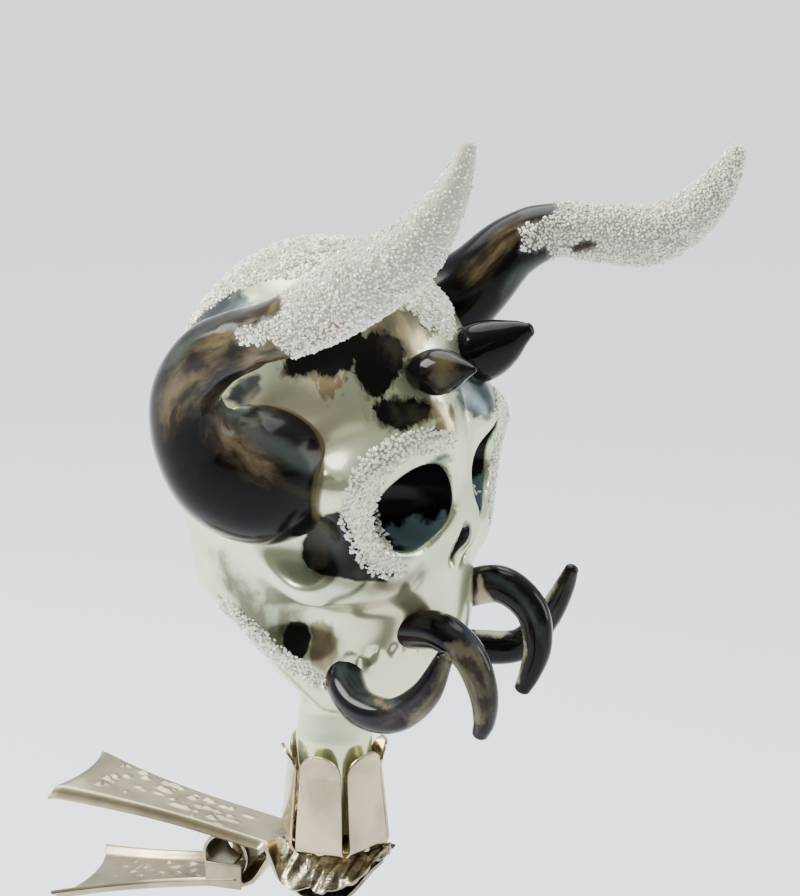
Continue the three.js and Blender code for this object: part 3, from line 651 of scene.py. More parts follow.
def rounded_end(path, rings=6):
    """Adds a low dome of the last radius to the end of a path."""
    way = path[-1, :3] - path[-2, :3]
    way /= np.linalg.norm(way)
    radius = path[-1, 3]
    turns = np.linspace(0, math.pi / 2, rings + 1)[1:]
    dome = [np.append(path[-1, :3] + way * radius * 0.6 * math.sin(t), max(radius * math.cos(t), 0.02))
            for t in turns]
    return np.vstack((path, dome))


def drawn_glass(name, points, rings, sides, trim=0.0, trim_from=1.0):
    """A round glass rod along a curve, as a closed mesh in the row frame.

    Past trim_from, as a share of its length, its radius is less by trim."""
    path = smooth_path(points, rings)
    share = np.linspace(0, 1, rings)
    path[:, 3] -= trim * np.clip((share - trim_from) / 0.03, 0, 1)
    path = rounded_end(path)
    line = bpy.data.curves.new(name, "CURVE")
    line.dimensions = "3D"
    line.bevel_depth = MM
    line.bevel_resolution = (sides - 4) // 2
    line.use_fill_caps = True
    spline = line.splines.new("POLY")
    spline.points.add(len(path) - 1)
    spline.points.foreach_set("co", np.column_stack((head_to_row(path[:, :3]), np.ones(len(path)))).ravel())
    spline.points.foreach_set("radius", path[:, 3])
    piece = bpy.data.objects.new(name, line)
    bpy.context.scene.collection.objects.link(piece)
    only(piece)
    bpy.ops.object.convert(target="MESH")
    bpy.ops.object.mode_set(mode="EDIT")
    bpy.ops.mesh.select_all(action="SELECT")
    bpy.ops.mesh.remove_doubles(threshold=SEAM)
    bpy.ops.mesh.normals_make_consistent(inside=False)
    bpy.ops.object.mode_set(mode="OBJECT")
    smooth_faces(piece)
    places = row_to_head(coordinates(piece))
    nearest = np.array([np.argmin(np.linalg.norm(path[:, :3] - p, axis=1)) for p in places])
    ways = np.gradient(path[:, :3], axis=0)
    ways /= np.maximum(np.linalg.norm(ways, axis=1), 1e-9)[:, None]
    side = np.cross(ways[0], (0.3, 0.5, 0.8))
    sides_out = []
    for way in ways:
        side = side - way * (side @ way)
        side = side / np.linalg.norm(side)
        sides_out.append(side)
    sides_out = np.array(sides_out)
    offset = places - path[nearest, :3]
    run = np.concatenate(((0,), np.cumsum(np.linalg.norm(np.diff(path[:, :3], axis=0), axis=1))))
    drawn = np.column_stack((run[nearest] * STREAK_STRETCH, (offset * sides_out[nearest]).sum(axis=1),
                             (offset * np.cross(ways, sides_out)[nearest]).sum(axis=1))) * MM
    piece.data.attributes.new("drawn", "FLOAT_VECTOR", "POINT").data.foreach_set(
        "vector", drawn.astype(np.float32).ravel())
    store(piece, "from_skull", bare_skull(places))
    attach(piece, "ornament")
    return piece


HORN_RIGHT_MARKS = {
    "gold": (
        ((-22, 66.4), (-21.3, 70), (-19.4, 73.3), (-17.3, 75.8), (-15.1, 77.7), (-12.2, 79.3), (-9.5, 80.5),
         (-7.2, 81.1), (-5.3, 81.7), (-4.5, 80.5), (-6.3, 79.2), (-10.1, 78.6), (-10.6, 77), (-7.1, 76.4),
         (-4.8, 76.2), (-2.8, 75.3), (-4.1, 74.3), (-7.4, 73.6), (-9.3, 72.8), (-10.3, 73.9), (-12.1, 74.6),
         (-13.6, 73.2), (-14.8, 71.6), (-16.2, 69.7), (-18.2, 68.6), (-19.5, 65.7), (-21, 64.4)),
        ((-15.1, 64.8), (-14.5, 66), (-13.3, 67), (-11.8, 65.7), (-10.1, 64.1), (-8.4, 62.7), (-6.9, 60.8),
         (-7, 59.2), (-8.5, 58.5), (-10.1, 59.7), (-11.7, 61.1), (-13.6, 63)),
    ),
    "dark": (
        ((-18.9, 72.8), (-17.9, 74.6), (-16.5, 75.5), (-14.9, 75.2), (-14.6, 74), (-15.8, 73), (-17.5, 72.7)),
        ((-12.6, 75.7), (-11.2, 76.9), (-9.4, 76.6), (-10.1, 75.6), (-11.5, 74.6)),
    ),
    "slate": (
        ((-12.1, 66), (-9.6, 66.3), (-6.9, 64.9), (-4.1, 63.3), (-1.6, 61.6), (-0.5, 59.1), (-2.6, 60.1),
         (-5.3, 61.5), (-8, 62.6), (-10.1, 64.1)),
        ((-13.7, 69.3), (-12.2, 69.7), (-11.1, 68.3), (-11.9, 66.6), (-13.3, 67.1), (-13.8, 68.2)),
        ((-20.4, 74.2), (-18.9, 76.6), (-15.7, 78.7), (-11.6, 80.5), (-7.2, 82), (-5.3, 82.4), (-7.2, 81.4),
         (-12.2, 79.5), (-15.6, 77.7), (-17.6, 76.1), (-19.1, 74.3)),
    ),
    "copper": (
        ((-2.1, 77.4), (0.2, 78.3), (3, 79.1), (4.5, 78.8), (2.9, 77.5), (0.4, 76.7), (-1.7, 76.5)),
    ),
    "frost": (
        ((-10.8, 78.3), (-8.7, 78.7), (-7.6, 78.4), (-6.9, 79.5), (-5.7, 79.2), (-4.5, 80.3), (-4.2, 81.9),
         (-5.2, 83.1), (1.6, 89.4), (10.4, 95.7), (16.7, 108.5), (26, 108.2), (20.4, 89.4), (12.9, 80.8),
         (4.3, 75.7), (-0.8, 74.7), (-3.3, 75.2), (-4.6, 76.2), (-6.3, 77.2), (-7.1, 76.6), (-10.1, 76.7)),
    ),
}
HORN_LEFT_MARKS = {
    "gold": (
        ((20.5, 89.8), (21.4, 91.8), (23.3, 93.1), (24.7, 94.6), (25.8, 96.6), (27.7, 97.8), (29.5, 98.1),
         (27.9, 96.2), (26.7, 94.3), (25.3, 92.7), (24.3, 90.9), (23.9, 88.7), (22.7, 87.9), (21.1, 88.5)),
        ((26.6, 95.9), (28.1, 97.5), (30.4, 98.4), (28.9, 96.5)),
    ),
    "dark": (),
    "slate": (
        ((29, 99.9), (32.9, 100.8), (36, 100.5), (35.1, 99.1), (32, 99.4), (29.5, 98.8)),
        ((25.8, 87.6), (27.3, 89.9), (30.5, 92), (35.3, 93.4), (35.3, 92), (30.6, 90.6), (27.7, 88), (25.9, 85.4)),
    ),
    "copper": (),
    "frost": (
        ((28.7, 96.8), (29.8, 97.6), (32, 98.1), (33.9, 99.1), (35.2, 100.5), (33.9, 101.7), (41.4, 105.2),
         (49.1, 106.5), (56.9, 110.7), (61.5, 116.8), (70.9, 113), (65.1, 98.6), (55.3, 89.6), (44.4, 88),
         (35.1, 90.4), (33.4, 93.9), (33.2, 94.8), (31.1, 93.8), (28.9, 93.6), (29.3, 95.3)),
    ),
}
FROST_HOLE = ((36.1, 94.3), (37.3, 95.1), (39.4, 95.6), (41, 95.1), (41.3, 94.4), (39.5, 93.8), (37.4, 93.6))

horn_right = drawn_glass("horn_right_glass", HORN_RIGHT, 160, 64, FROST_BED, FROST_FROM)
horn_left = drawn_glass("horn_left_glass", HORN_LEFT, 140, 64, FROST_BED, FROST_FROM)
left_places = coordinates(horn_left) / MM
left_frost = np.minimum(marked(HORN_LEFT_MARKS["frost"], left_places), -marked((FROST_HOLE,), left_places))
for horn, node, marks in ((horn_right, "horn_right", HORN_RIGHT_MARKS),
                          (horn_left, "horn_left", HORN_LEFT_MARKS)):
    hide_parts(node)
    for name, outlines in marks.items():
        holed = horn is horn_left and name == "frost"
        store(horn, name, left_frost if holed else marked(outlines, coordinates(horn) / MM))

horn_lacquer = blank_material("streaked_lacquer_in_drawn_glass")
tree = horn_lacquer.node_tree
smears = cloud(tree, 200, 0.52, 0.75, stretch="drawn", detail=5.0)
colour = over(tree, (0.004, 0.0035, 0.004), (0.045, 0.03, 0.016), times(tree, smears, 0.8))
flecks = cloud(tree, 620, 0.38, 0.64, stretch="drawn", detail=6.0)
gold_tint = over(tree, (0.15, 0.112, 0.06), (0.024, 0.017, 0.01), flecks)
colour = dab(tree, colour, gold_tint, 0.9, "gold", 300, 3.2, 1.9, stretch="drawn")
# The slate marks are painted reflection: a grey-blue sheen on the black glass's edges and on the right horn's
# root.
colour = dab(tree, colour, (0.055, 0.064, 0.058), 0.8, "slate", 260, 1.2, 1.0, stretch="drawn")
colour = dab(tree, colour, (0.008, 0.006, 0.005), 0.9, "dark", 400, 1.2, 0.8)
near_seam = new_nodes(tree, "ShaderNodeAttribute", attribute_name="from_skull").outputs["Fac"]
seam = new_nodes(tree, "ShaderNodeMapRange", {0: near_seam, 1: 0.9, 2: 0.3}).outputs[0]
colour = over(tree, colour, (0.17, 0.13, 0.075), times(tree, seam, 0.55))
milky = torn(tree, "frost", 600, 0.8, 0.8)
melted = new_nodes(tree, "ShaderNodeAttribute", attribute_name="melted").outputs["Fac"]
colour = over(tree, colour, over(tree, (0.13, 0.14, 0.14), (0.52, 0.515, 0.42), melted), milky)
colour = dab(tree, colour, (0.24, 0.10, 0.06), 0.8, "copper", 700, 1.4, 0.6)


def shine_at_the_rim(tree, shader, low):
    """The glass's clear skin, as gloss that shows where the surface turns away."""
    glass_edge = new_nodes(tree, "ShaderNodeLayerWeight", {0: 0.22}).outputs["Facing"]
    edge_mask = new_nodes(tree, "ShaderNodeMapRange", {0: glass_edge, 1: low, 2: 0.88}).outputs[0]
    tree.links.new(edge_mask, shader.inputs["Coat Weight"])


horn_shader = finish_material(tree, colour, blend_value(tree, 0.16, 0.4, milky), 0.0, specular_ior_level=0.1,
                              coat_roughness=0.08)
shine_at_the_rim(tree, horn_shader, 0.35)
for horn in (horn_right, horn_left):
    horn.data.materials.append(horn_lacquer)

# Brow spikes
# Two short solid points of black glass on the forehead. Each is drawn out from a bead of hot glass
# and melted on like the horns.
SPIKE_RIGHT = ((-7, -20.5, 59.6, 1.8), (-7.7, -22.8, 60.1, 2.9), (-8.2, -25.2, 60.5, 3.4),
               (-8.9, -27.8, 61, 2.9), (-9.7, -30.4, 61.6, 1.5), (-10.2, -32.3, 61.9, 0.5))
SPIKE_LEFT = ((7.6, -20.5, 58.6, 4.3), (8.4, -24.2, 60, 4.5), (9.1, -27, 61.4, 3.6), (9.7, -29.2, 62.6, 2.2),
              (10, -30.8, 63.3, 1.1))
SPIKE_GLOW = ((14.9, 75.9), (16.3, 76.5), (17.7, 75.9), (17.9, 73.9), (17.1, 72), (16, 71.7), (15.2, 73.4))
spikes = []
for name, points in (("brow_spike_right", SPIKE_RIGHT), ("brow_spike_left", SPIKE_LEFT)):
    spike = drawn_glass(name + "_glass", points, 50, 48)
    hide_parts(name)
    store(spike, "glow", marked((SPIKE_GLOW,), coordinates(spike) / MM))
    spikes.append(spike)

spike_lacquer = blank_material("black_spike_glass")
tree = spike_lacquer.node_tree
colour = dab(tree, (0.004, 0.0035, 0.004), (0.065, 0.052, 0.024), 0.8, "glow", 500, 1.4, 1.2)
spike_shader = finish_material(tree, colour, 0.1, 0.0, specular_ior_level=0.12, coat_roughness=0.08)
shine_at_the_rim(tree, spike_shader, 0.4)
for spike in spikes:
    spike.data.materials.append(spike_lacquer)

# Tusks
# Four hooks of streaked glass rod, bent while hot and melted on beside the mouth. The outer two
# curl up, and the inner two curl down.
TUSKS = {
    "tusk_outer_right": ((-10.5, -9.5, 16, 2.8), (-14.5, -11.5, 13.6, 2.9), (-18, -16, 11.6, 2.8),
                         (-20.2, -23, 12.2, 2.6), (-21, -28.8, 16.6, 2.2), (-20.6, -32, 22.6, 1.3)),
    "tusk_inner_right": ((-7.6, -19, 20.6, 3), (-9.4, -25.5, 21.6, 2.9), (-10.2, -30.2, 19, 2.6),
                         (-9.8, -32.2, 13.5, 2.2), (-8.6, -31.6, 8.6, 1.7), (-8, -30.6, 6.2, 1.3)),
    "tusk_inner_left": ((7.4, -19, 22, 3), (9.6, -25.4, 23, 2.9), (10.2, -30, 19.6, 2.6),
                        (9.6, -31.4, 14, 2.2), (8.6, -30.4, 9.6, 1.7), (8, -29.4, 7.2, 1.3)),
    "tusk_outer_left": ((9.5, -8.5, 12.5, 2.8), (13.5, -11.5, 10, 2.9), (18, -17, 8.6, 2.8),
                        (20.6, -22.5, 9, 2.6), (21.6, -27, 14, 2.2), (21, -30.6, 20, 1.6),
                        (20.6, -32, 23, 1.1)),
}
TUSK_MARKS = {
    "tusk_outer_right": {
        "slate": (((0.6, 31.3), (2.3, 31.6), (4.2, 30.2), (5.7, 28.6), (8.1, 27.2), (11, 27.2), (13.2, 27.8),
                   (12.5, 26), (9.7, 25.5), (6.4, 26.2), (3.4, 27.7), (1.3, 29.5)),),
        "tan": (((11, 25.3), (13.2, 26.6), (14.9, 29.3), (15.7, 32.5), (16.9, 34.9), (17.4, 34.2), (17, 30.7),
                 (16, 27.4), (13.8, 24.7), (11.5, 23.7)),
                ((5.2, 29.2), (6.7, 26.8), (9.2, 25.7), (10.4, 26), (8.6, 26.5), (6.7, 28.3), (5.8, 29.8))),
    },
    "tusk_inner_right": {
        "tan": (((17, 34.8), (18.8, 35.6), (21.4, 34.2), (23.1, 31.5), (24, 28.3), (23.2, 24.5), (21.8, 21.7),
                 (21, 23.1), (20.6, 26.6), (19.4, 28.9), (17.3, 30.6), (17.9, 32.6)),),
        "slate": (((16.2, 38), (18.4, 37.5), (20.5, 36.4), (22.9, 34), (21.9, 33.8), (19.3, 35.6), (17.1, 36.7)),),
        "dark": (((21.7, 26.8), (22.8, 27.4), (23.7, 26.5), (23.2, 25), (22, 24.9)),
                 ((20.6, 23), (21.8, 23.3), (22.7, 22.4), (21.8, 21.2), (20.8, 21.6)),
                 ((18.3, 33.4), (20.5, 32.8), (22.2, 31), (22.8, 28.3), (21.6, 29.8), (19.6, 31.6))),
    },
    "tusk_inner_left": {
        "cream_and_highlight": (((22.6, 43.9), (23.5, 41.4), (25.3, 39.2), (27.2, 37.6), (28.7, 35.8), (29.5, 33.2),
                   (29.3, 30.9), (28.5, 27.4), (27.6, 28.4), (27.5, 31.7), (26.9, 34), (25.4, 36.3),
                   (22.9, 38.2), (22, 40.1)),),
        "slate": (((23.2, 44.4), (25.6, 43.8), (28.6, 41.7), (30.7, 39), (32.3, 35.9), (32.5, 32.5),
                   (31.4, 35.3), (29.2, 39), (26.3, 41.7), (23.8, 43.2)),),
    },
    "tusk_outer_left": {
        "cream_and_highlight": (((31.6, 38.9), (33.1, 40.7), (35.4, 43.6), (34.8, 41.4), (33.4, 38.7), (32.2, 37.8)),
                  ((22.2, 34.6), (23.1, 35.7), (24.7, 35.9), (26.8, 34.9), (27.6, 33.9), (26.3, 33.2),
                   (24.4, 33.4), (22.8, 33.8))),
    },
}
tusks = {}
for name, points in TUSKS.items():
    tusk = drawn_glass(name + "_glass", points, 100, 48)
    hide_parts(name)
    for layer in ("slate", "tan", "dark", "cream_and_highlight"):
        store(tusk, layer, marked(TUSK_MARKS[name].get(layer, ()), coordinates(tusk) / MM))
    tusks[name] = tusk

tusk_lacquer = blank_material("streaked_tusk_glass")
tree = tusk_lacquer.node_tree
streaks = cloud(tree, 420, 0.5, 0.72, stretch="drawn", detail=5.0)
colour = over(tree, (0.004, 0.0035, 0.005), (0.035, 0.025, 0.022), streaks)
# The slate marks are painted reflection: a grey-blue sheen along the black glass's edges.
grey_reflection_tint = over(tree, (0.038, 0.047, 0.05), (0.012, 0.013, 0.015),
                  cloud(tree, 500, 0.4, 0.6, stretch="drawn"))
colour = over(tree, colour, grey_reflection_tint, torn(tree, "slate", 500, 0.8, 0.6))
flecks = cloud(tree, 520, 0.38, 0.62, stretch="drawn", detail=5.0)
tan_tint = over(tree, (0.14, 0.118, 0.078), (0.045, 0.034, 0.02), flecks)
colour = over(tree, colour, tan_tint, torn(tree, "tan", 600, 1.0, 0.5))
colour = dab(tree, colour, (0.010, 0.007, 0.006), 0.85, "dark", 700, 0.9, 0.5)
# On the inner left tusk the cream is its pale inner face; on the outer left tusk it is a painted highlight.
colour = over(tree, colour, (0.40, 0.37, 0.26), torn(tree, "cream_and_highlight", 500, 0.6, 0.4))
tusk_shader = finish_material(tree, colour, 0.12, 0.0, specular_ior_level=0.14, coat_roughness=0.08)
shine_at_the_rim(tree, tusk_shader, 0.4)
for tusk in tusks.values():
    tusk.data.materials.append(tusk_lacquer)

# Frost
# Crushed clear glass is sprinkled on while the glass is hot: over the crown, down to the brow,
# in an arc round each eye, along the jaw and over the outer halves of the horns. Each grain is a
# small broken crystal that is sunk into the surface.
FOREHEAD_FROST = ((10.8, 84.2), (12.2, 86.3), (14.1, 88.3), (15.8, 88.7), (17.3, 86.6), (18.2, 83.6),
                  (18.4, 80.7), (17.7, 79.4), (16.4, 79.9), (14.7, 80.4), (13, 82.1))
EYE_FROST = ((18.3, 64.3), (17.4, 65.6), (15, 66), (12.1, 65.8), (9.4, 64.8), (7, 63.4), (5.1, 61.7),
             (3.7, 59.7), (2.6, 57.3), (2, 54.6), (2.4, 51.8), (3.3, 49.1), (4.6, 47), (6.3, 45.3),
             (8.4, 44.6), (10.8, 44.6), (11.4, 45.5), (10.4, 47.1), (9.1, 48.7), (8.1, 50.3), (7.3, 52.4),
             (7, 54.6), (7.4, 56.9), (8.3, 58.8), (9.7, 60.3), (11.5, 61.6), (13.8, 62.3), (16.1, 62.7),
             (17.9, 63.3))
BROW_FROST = ((25.4, 72.6), (26.5, 72), (27.5, 69.9), (27.3, 68.1), (25.5, 67.5), (24.3, 68.3), (25, 70.2))
JAW_FROST = ((-16.9, 41.3), (-15.1, 40.8), (-13.6, 39.6), (-11.8, 38.1), (-10.7, 37), (-9.2, 35.9),
             (-8.2, 34.4), (-6.7, 33.3), (-5, 32.6), (-3.5, 31.1), (-1.2, 29.2), (1.2, 27.4), (-1.2, 27.3),
             (-4.5, 29), (-7.5, 31), (-10.1, 32.5), (-13.4, 35.1), (-15.5, 37.8))
CROWN_HALF_WIDTH = 12.5
CROWN_HALF_LENGTH = 19.0
GRAIN = 0.45            # half of a grain's width, in millimetres
GRAIN_SPACING = 0.43
FINE_GRAIN = 0.39
FINE_SPACING = 0.37
CROWDED = 3.2           # tries for each grain that finds room
RAGGED_RIM = 0.14       # how unevenly the frost ends, in millimetres

crushed_glass = blank_material("crushed_glass")
tree = crushed_glass.node_tree
bright = new_nodes(tree, "ShaderNodeAttribute", attribute_name="clear").outputs["Fac"]
colour = over(tree, (0.58, 0.58, 0.48), (0.98, 0.98, 0.86), bright)
finish_material(tree, colour, 0.2, 0.0, specular_ior_level=0.6)


def crown_cap(places):
    """How far inside the frost cap on the crown each place in the head's frame is."""
    half = CROWN_HALF_WIDTH + 0.3 * np.maximum(places[:, 1], 0)
    reach = np.hypot(places[:, 0] / half, (places[:, 1] - 2) / CROWN_HALF_LENGTH)
    return np.where(places[:, 2] > 50, (1 - reach) * CROWN_HALF_WIDTH, UNPAINTED)


def far_apart(points, spacing):
    """Picks points one by one, leaving out any that lies too close to one already picked."""
    cells, kept = {}, []
    keys = np.floor(points / spacing).astype(int)
    near = [(i, j, k) for i in (-1, 0, 1) for j in (-1, 0, 1) for k in (-1, 0, 1)]
    for index, (point, key) in enumerate(zip(points, map(tuple, keys))):
        close = (q for d in near for q in cells.get((key[0] + d[0], key[1] + d[1], key[2] + d[2]), ()))
        if all(np.dot(point - q, point - q) > spacing * spacing for q in close):
            cells.setdefault(key, []).append(point)
            kept.append(index)
    return kept


def sprinkle(name, host, depth, seed, grain, spacing, melted=None):
    """Grains over the part of a piece where depth is more than nothing, as one mesh.

    Where melted nears 1 the grains are smaller and sunk deeper."""
    dice = np.random.default_rng(seed)
    host.data.calc_loop_triangles()
    corners = np.empty(len(host.data.loop_triangles) * 3, int)
    host.data.loop_triangles.foreach_get("vertices", corners)
    corners = corners.reshape(-1, 3)
    places = coordinates(host) / MM
    melted = np.zeros(len(places)) if melted is None else melted
    corners = corners[depth[corners].mean(axis=1) > -0.4]
    a, b, c = (places[corners[:, k]] for k in range(3))
    sides = np.cross(b - a, c - a)
    areas = np.linalg.norm(sides, axis=1) / 2
    count = int(areas.sum() / spacing ** 2 * CROWDED)
    picked = dice.choice(len(areas), count, p=areas / areas.sum())
    u, v = dice.random(count), dice.random(count)
    u, v = np.where(u + v > 1, 1 - u, u), np.where(u + v > 1, 1 - v, v)
    w = 1 - u - v
    spots = a[picked] * w[:, None] + b[picked] * u[:, None] + c[picked] * v[:, None]
    deep = (depth[corners[picked]] * np.column_stack((w, u, v))).sum(axis=1)
    ways = sides[picked] / (2 * areas[picked])[:, None]
    wanted = deep > dice.normal(0, RAGGED_RIM, count)
    spots, ways = spots[wanted], ways[wanted]
    kept = far_apart(spots, spacing)
    spots, ways = spots[kept], ways[kept]
    soft = melted[corners[picked]].mean(axis=1)[wanted][kept]
    ring = np.linspace(0, 2 * math.pi, 5, endpoint=False)
    belt = np.column_stack((np.cos(ring), np.sin(ring), np.zeros(5)))
    vertices, faces, clear = [], [], []
    shape = [(k, (k + 1) % 5, 5) for k in range(5)] + [((k + 1) % 5, k, 6) for k in range(5)]
    for spot, way, gone in zip(spots, ways, soft):
        width = grain * dice.uniform(0.7, 1.25) * (1 - 0.3 * gone)
        crystal = np.vstack((belt, (0, 0, 0.9), (0, 0, -0.9)))
        crystal = crystal * dice.uniform(0.8, 1.15, (7, 1)) * (1, dice.uniform(0.65, 1), dice.uniform(0.6, 1))
        spin, _ = np.linalg.qr(dice.normal(size=(3, 3)))
        if np.linalg.det(spin) < 0:
            spin[:, 0] *= -1
        first = len(vertices)
        vertices.extend((crystal @ spin.T * width + spot + way * (dice.uniform(-0.1, 0.14) - 0.12 * gone)) * MM)
        faces.extend([tuple(first + k for k in face) for face in shape])
        clear.extend([dice.uniform(0, 1) ** 0.6] * 7)
    mesh = bpy.data.meshes.new(name)
    mesh.from_pydata(vertices, [], faces)
    piece = bpy.data.objects.new(name, mesh)
    bpy.context.scene.collection.objects.link(piece)
    store(piece, "clear", clear)
    mesh.materials.append(crushed_glass)
    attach(piece, "ornament")
    return piece


skull_frost = crown_cap(skull_places)
for outline in (FOREHEAD_FROST, EYE_FROST, BROW_FROST, JAW_FROST):
    skull_frost = np.maximum(skull_frost, skull_marks((outline,), skull_places, skull_ways))
frost_skull = sprinkle("frost_on_skull", skull, skull_frost, 3, GRAIN, GRAIN_SPACING)

# The frost on the horns has partly melted in, most of all near the right one's tip.
right_places = coordinates(horn_right) / MM
right_frost = marked(HORN_RIGHT_MARKS["frost"], right_places)
near_tip = np.clip((right_places[:, 2] - 90) / 24, 0, 1)
store(horn_right, "melted", 0.15 + 0.35 * np.clip((right_places[:, 2] - 86) / 6, 0, 1) + 0.5 * near_tip)
store(horn_left, "melted", 0.7 * np.clip((-21 - left_places[:, 1]) / 9, 0, 1))
frost_right = sprinkle("frost_on_horn_right", horn_right, right_frost, 4, FINE_GRAIN, FINE_SPACING, near_tip)
frost_left = sprinkle("frost_on_horn_left", horn_left, left_frost, 5, FINE_GRAIN, FINE_SPACING)

# Collet
# Six petals of thin plated steel, cut and bent up from one disc, grip the neck tube. Each one
# narrows upwards and rolls out at its rounded tip.
COLLET_BOTTOM = 0.9
COLLET_HEIGHT = 16.5
COLLET_TURN = math.radians(43)
COLLET_FLOOR = (8.1, 0.8)           # radius and thickness
PETALS = 6
PETAL_SHEET = 0.5
PETAL_FOOT = 3.9                    # half of a petal's width at its foot, and under its tip
PETAL_TIP = 3.25
PETAL_SHOULDER = 13.4               # how high up its sides start to round in
PETAL_HEIGHTS = (0, 0.5, 1.1, 13, 14.7, 15.9, 16.5)
PETAL_REACHES = (6.6, 7.4, 7.6, 6.5, 6.9, 7.7, 8.0)


def from_grid(name, columns, rows, place):
    """A grid of faces whose points are put in place, in millimetres, by u and v from -1 to 1."""
    bpy.ops.object.select_all(action="DESELECT")
    bpy.ops.mesh.primitive_grid_add(x_subdivisions=columns, y_subdivisions=rows, size=2)
    piece = bpy.context.object
    piece.name = name
    points = coordinates(piece)
    set_coordinates(piece, place(points[:, 0], points[:, 1]) * MM)
    return piece


def eased(a, b, t):
    k = np.clip((t - a) / (b - a), 0, 1)
    return k * k * (3 - 2 * k)


def round_edges(piece, width, segments, crease):
    """Bevels the edges of a sheet that are sharper than a crease in degrees."""
    apply_modifier(piece, "BEVEL", width=width * MM, segments=segments, limit_method="ANGLE",
                   angle_limit=math.radians(crease))


def petal_place(u, v):
    rise = (v + 1) / 2 * COLLET_HEIGHT
    out = np.interp(rise, PETAL_HEIGHTS, PETAL_REACHES)
    half = PETAL_FOOT + (PETAL_TIP - PETAL_FOOT) * np.clip(rise / 13, 0, 1)
    half = half * np.sqrt(np.clip(1 - (np.maximum(rise - PETAL_SHOULDER, 0) / PETAL_TIP) ** 2, 0.02, 1))
    crown = 0.35 * (1 - u ** 2) * eased(1, 4, rise) * (1 - eased(13, 16, rise))
    return np.column_stack((out + crown, u * half, rise))


petals = []
for i in range(PETALS):
    petal = from_grid("petal", 14, 40, petal_place)
    apply_modifier(petal, "SOLIDIFY", thickness=PETAL_SHEET * MM, offset=1)
    round_edges(petal, 0.16, 3, 50)
    turn = Matrix.Rotation(COLLET_TURN + (i + 0.5) * 2 * math.pi / PETALS, 4, "Z")
    petal.data.transform(Matrix.Translation((0, 0, COLLET_BOTTOM * MM)) @ turn)
    petals.append(petal)
bpy.ops.mesh.primitive_cylinder_add(vertices=PETALS, radius=COLLET_FLOOR[0] * MM, depth=COLLET_FLOOR[1] * MM,
                                    location=(0, 0, (COLLET_BOTTOM + COLLET_FLOOR[1] / 2) * MM),
                                    rotation=(0, 0, COLLET_TURN))
collet_floor = bpy.context.object
bpy.ops.object.transform_apply(location=True, rotation=True, scale=True)
apply_modifier(collet_floor, "BEVEL", width=0.25 * MM, segments=3)
collet = joined("collet_metal", petals + [collet_floor])
smooth_faces(collet, crease=40)
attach(collet, "ornament")
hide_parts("collet")

nickel = blank_material("nickel_plate")
tree = nickel.node_tree
colour = over(tree, (0.52, 0.43, 0.28), (0.36, 0.295, 0.19), cloud(tree, 120, 0.4, 0.65, detail=4.0))
worn = cloud(tree, 900, 0.45, 0.75, detail=5.0)
grain = new_nodes(tree, "ShaderNodeTexNoise",
                  {"Vector": place_of(tree), "Scale": 2600.0, "Detail": 3.0}).outputs[0]
pitted = new_nodes(tree, "ShaderNodeBump", {"Height": grain, "Strength": 0.08, "Distance": 0.0001}).outputs[0]
finish_material(tree, colour, blend_value(tree, 0.13, 0.26, worn), 1.0, pitted)
collet.data.materials.append(nickel)

# Clip
# Two stamped and plated steel plates that rock on each other. Each has a fishtail handle with
# folded edges, and an arched jaw, which is embossed on the upper one. In the plates' own frame s
# runs along the clip to the jaws' tip, and v across it from -1 to 1.
CLIP_YAW = math.radians(12)
SHEET = 0.6
HANDLE_END = -45.5
HANDLE_FLARE = 10.4
HANDLE_WAIST = 5.8
HANDLE_ROOT = -9.2
HANDLE_LIP = 1.3
UPPER_HANDLE_RISE = 7
LOWER_HANDLE_DROP = 11.2
LOWER_HANDLE_RISE = 4.8
JAW_START = -8.4
JAW_TIP = 9.2
JAW_HALF_WIDTH = 8.2
JAW_DROOP = 5.4
MOUTH = 3
RAMP_FOOT = -13.4
FLARE_LENGTH = 26
FISHTAIL = (2.2, 12)                # how deep the handle's end is cut, and over what length
EAR_PLACE = (-17, 5.7, -5.4)
EAR_SIZE = (6.2, SHEET, 4.2)
VEIN_RISE = 0.16
MARK_SIZE = 0.5
MARK_RISE = 0.4
CLIP_TURN = Matrix.Rotation(CLIP_YAW - math.pi / 2, 4, "Z")


def handle_width(s):
    left = 1 - np.clip((s - HANDLE_END) / FLARE_LENGTH, 0, 1)
    return HANDLE_FLARE + (HANDLE_WAIST - HANDLE_FLARE) * (1 - left ** 2)


def fishtail(s, v):
    return s + FISHTAIL[0] * (1 - v * v) * (1 - eased(HANDLE_END, HANDLE_END + FISHTAIL[1], s))


def jaw_width(s):
    opening = HANDLE_WAIST + (JAW_HALF_WIDTH - HANDLE_WAIST) * eased(HANDLE_ROOT, JAW_START + 2.4, s)
    nose = np.sqrt(np.clip(1 - (np.maximum(0, s) / JAW_TIP) ** 2.2, 0, 1))
    return opening * np.maximum(nose, 0.16)


def jaw_top(s, v):
    flat = np.clip((np.abs(v) - 0.3) / 0.7, 0, 1)
    droop = JAW_DROOP * (1 - np.clip(s / JAW_TIP, 0, 1) ** 2) * eased(HANDLE_ROOT - 0.6, JAW_START + 2.4, s)
    return SHEET - droop * flat


def bumps(s, v, seed, count, low, high, width=0.7, size=MARK_SIZE, rise=MARK_RISE):
    """Height of small raised marks scattered over a stretch of plate."""
    dice = np.random.default_rng(seed)
    total = np.zeros_like(s)
    for _ in range(count):
        at_s, at_v = dice.uniform(low, high), dice.uniform(-width, width)
        long, tall = size * dice.uniform(0.5, 2.6), rise * dice.uniform(0.3, 1)
        away = ((s - at_s) / long) ** 2 + ((v - at_v) * handle_width(at_s) / size) ** 2
        total = np.maximum(total, tall * np.exp(-away ** 2))
    return total


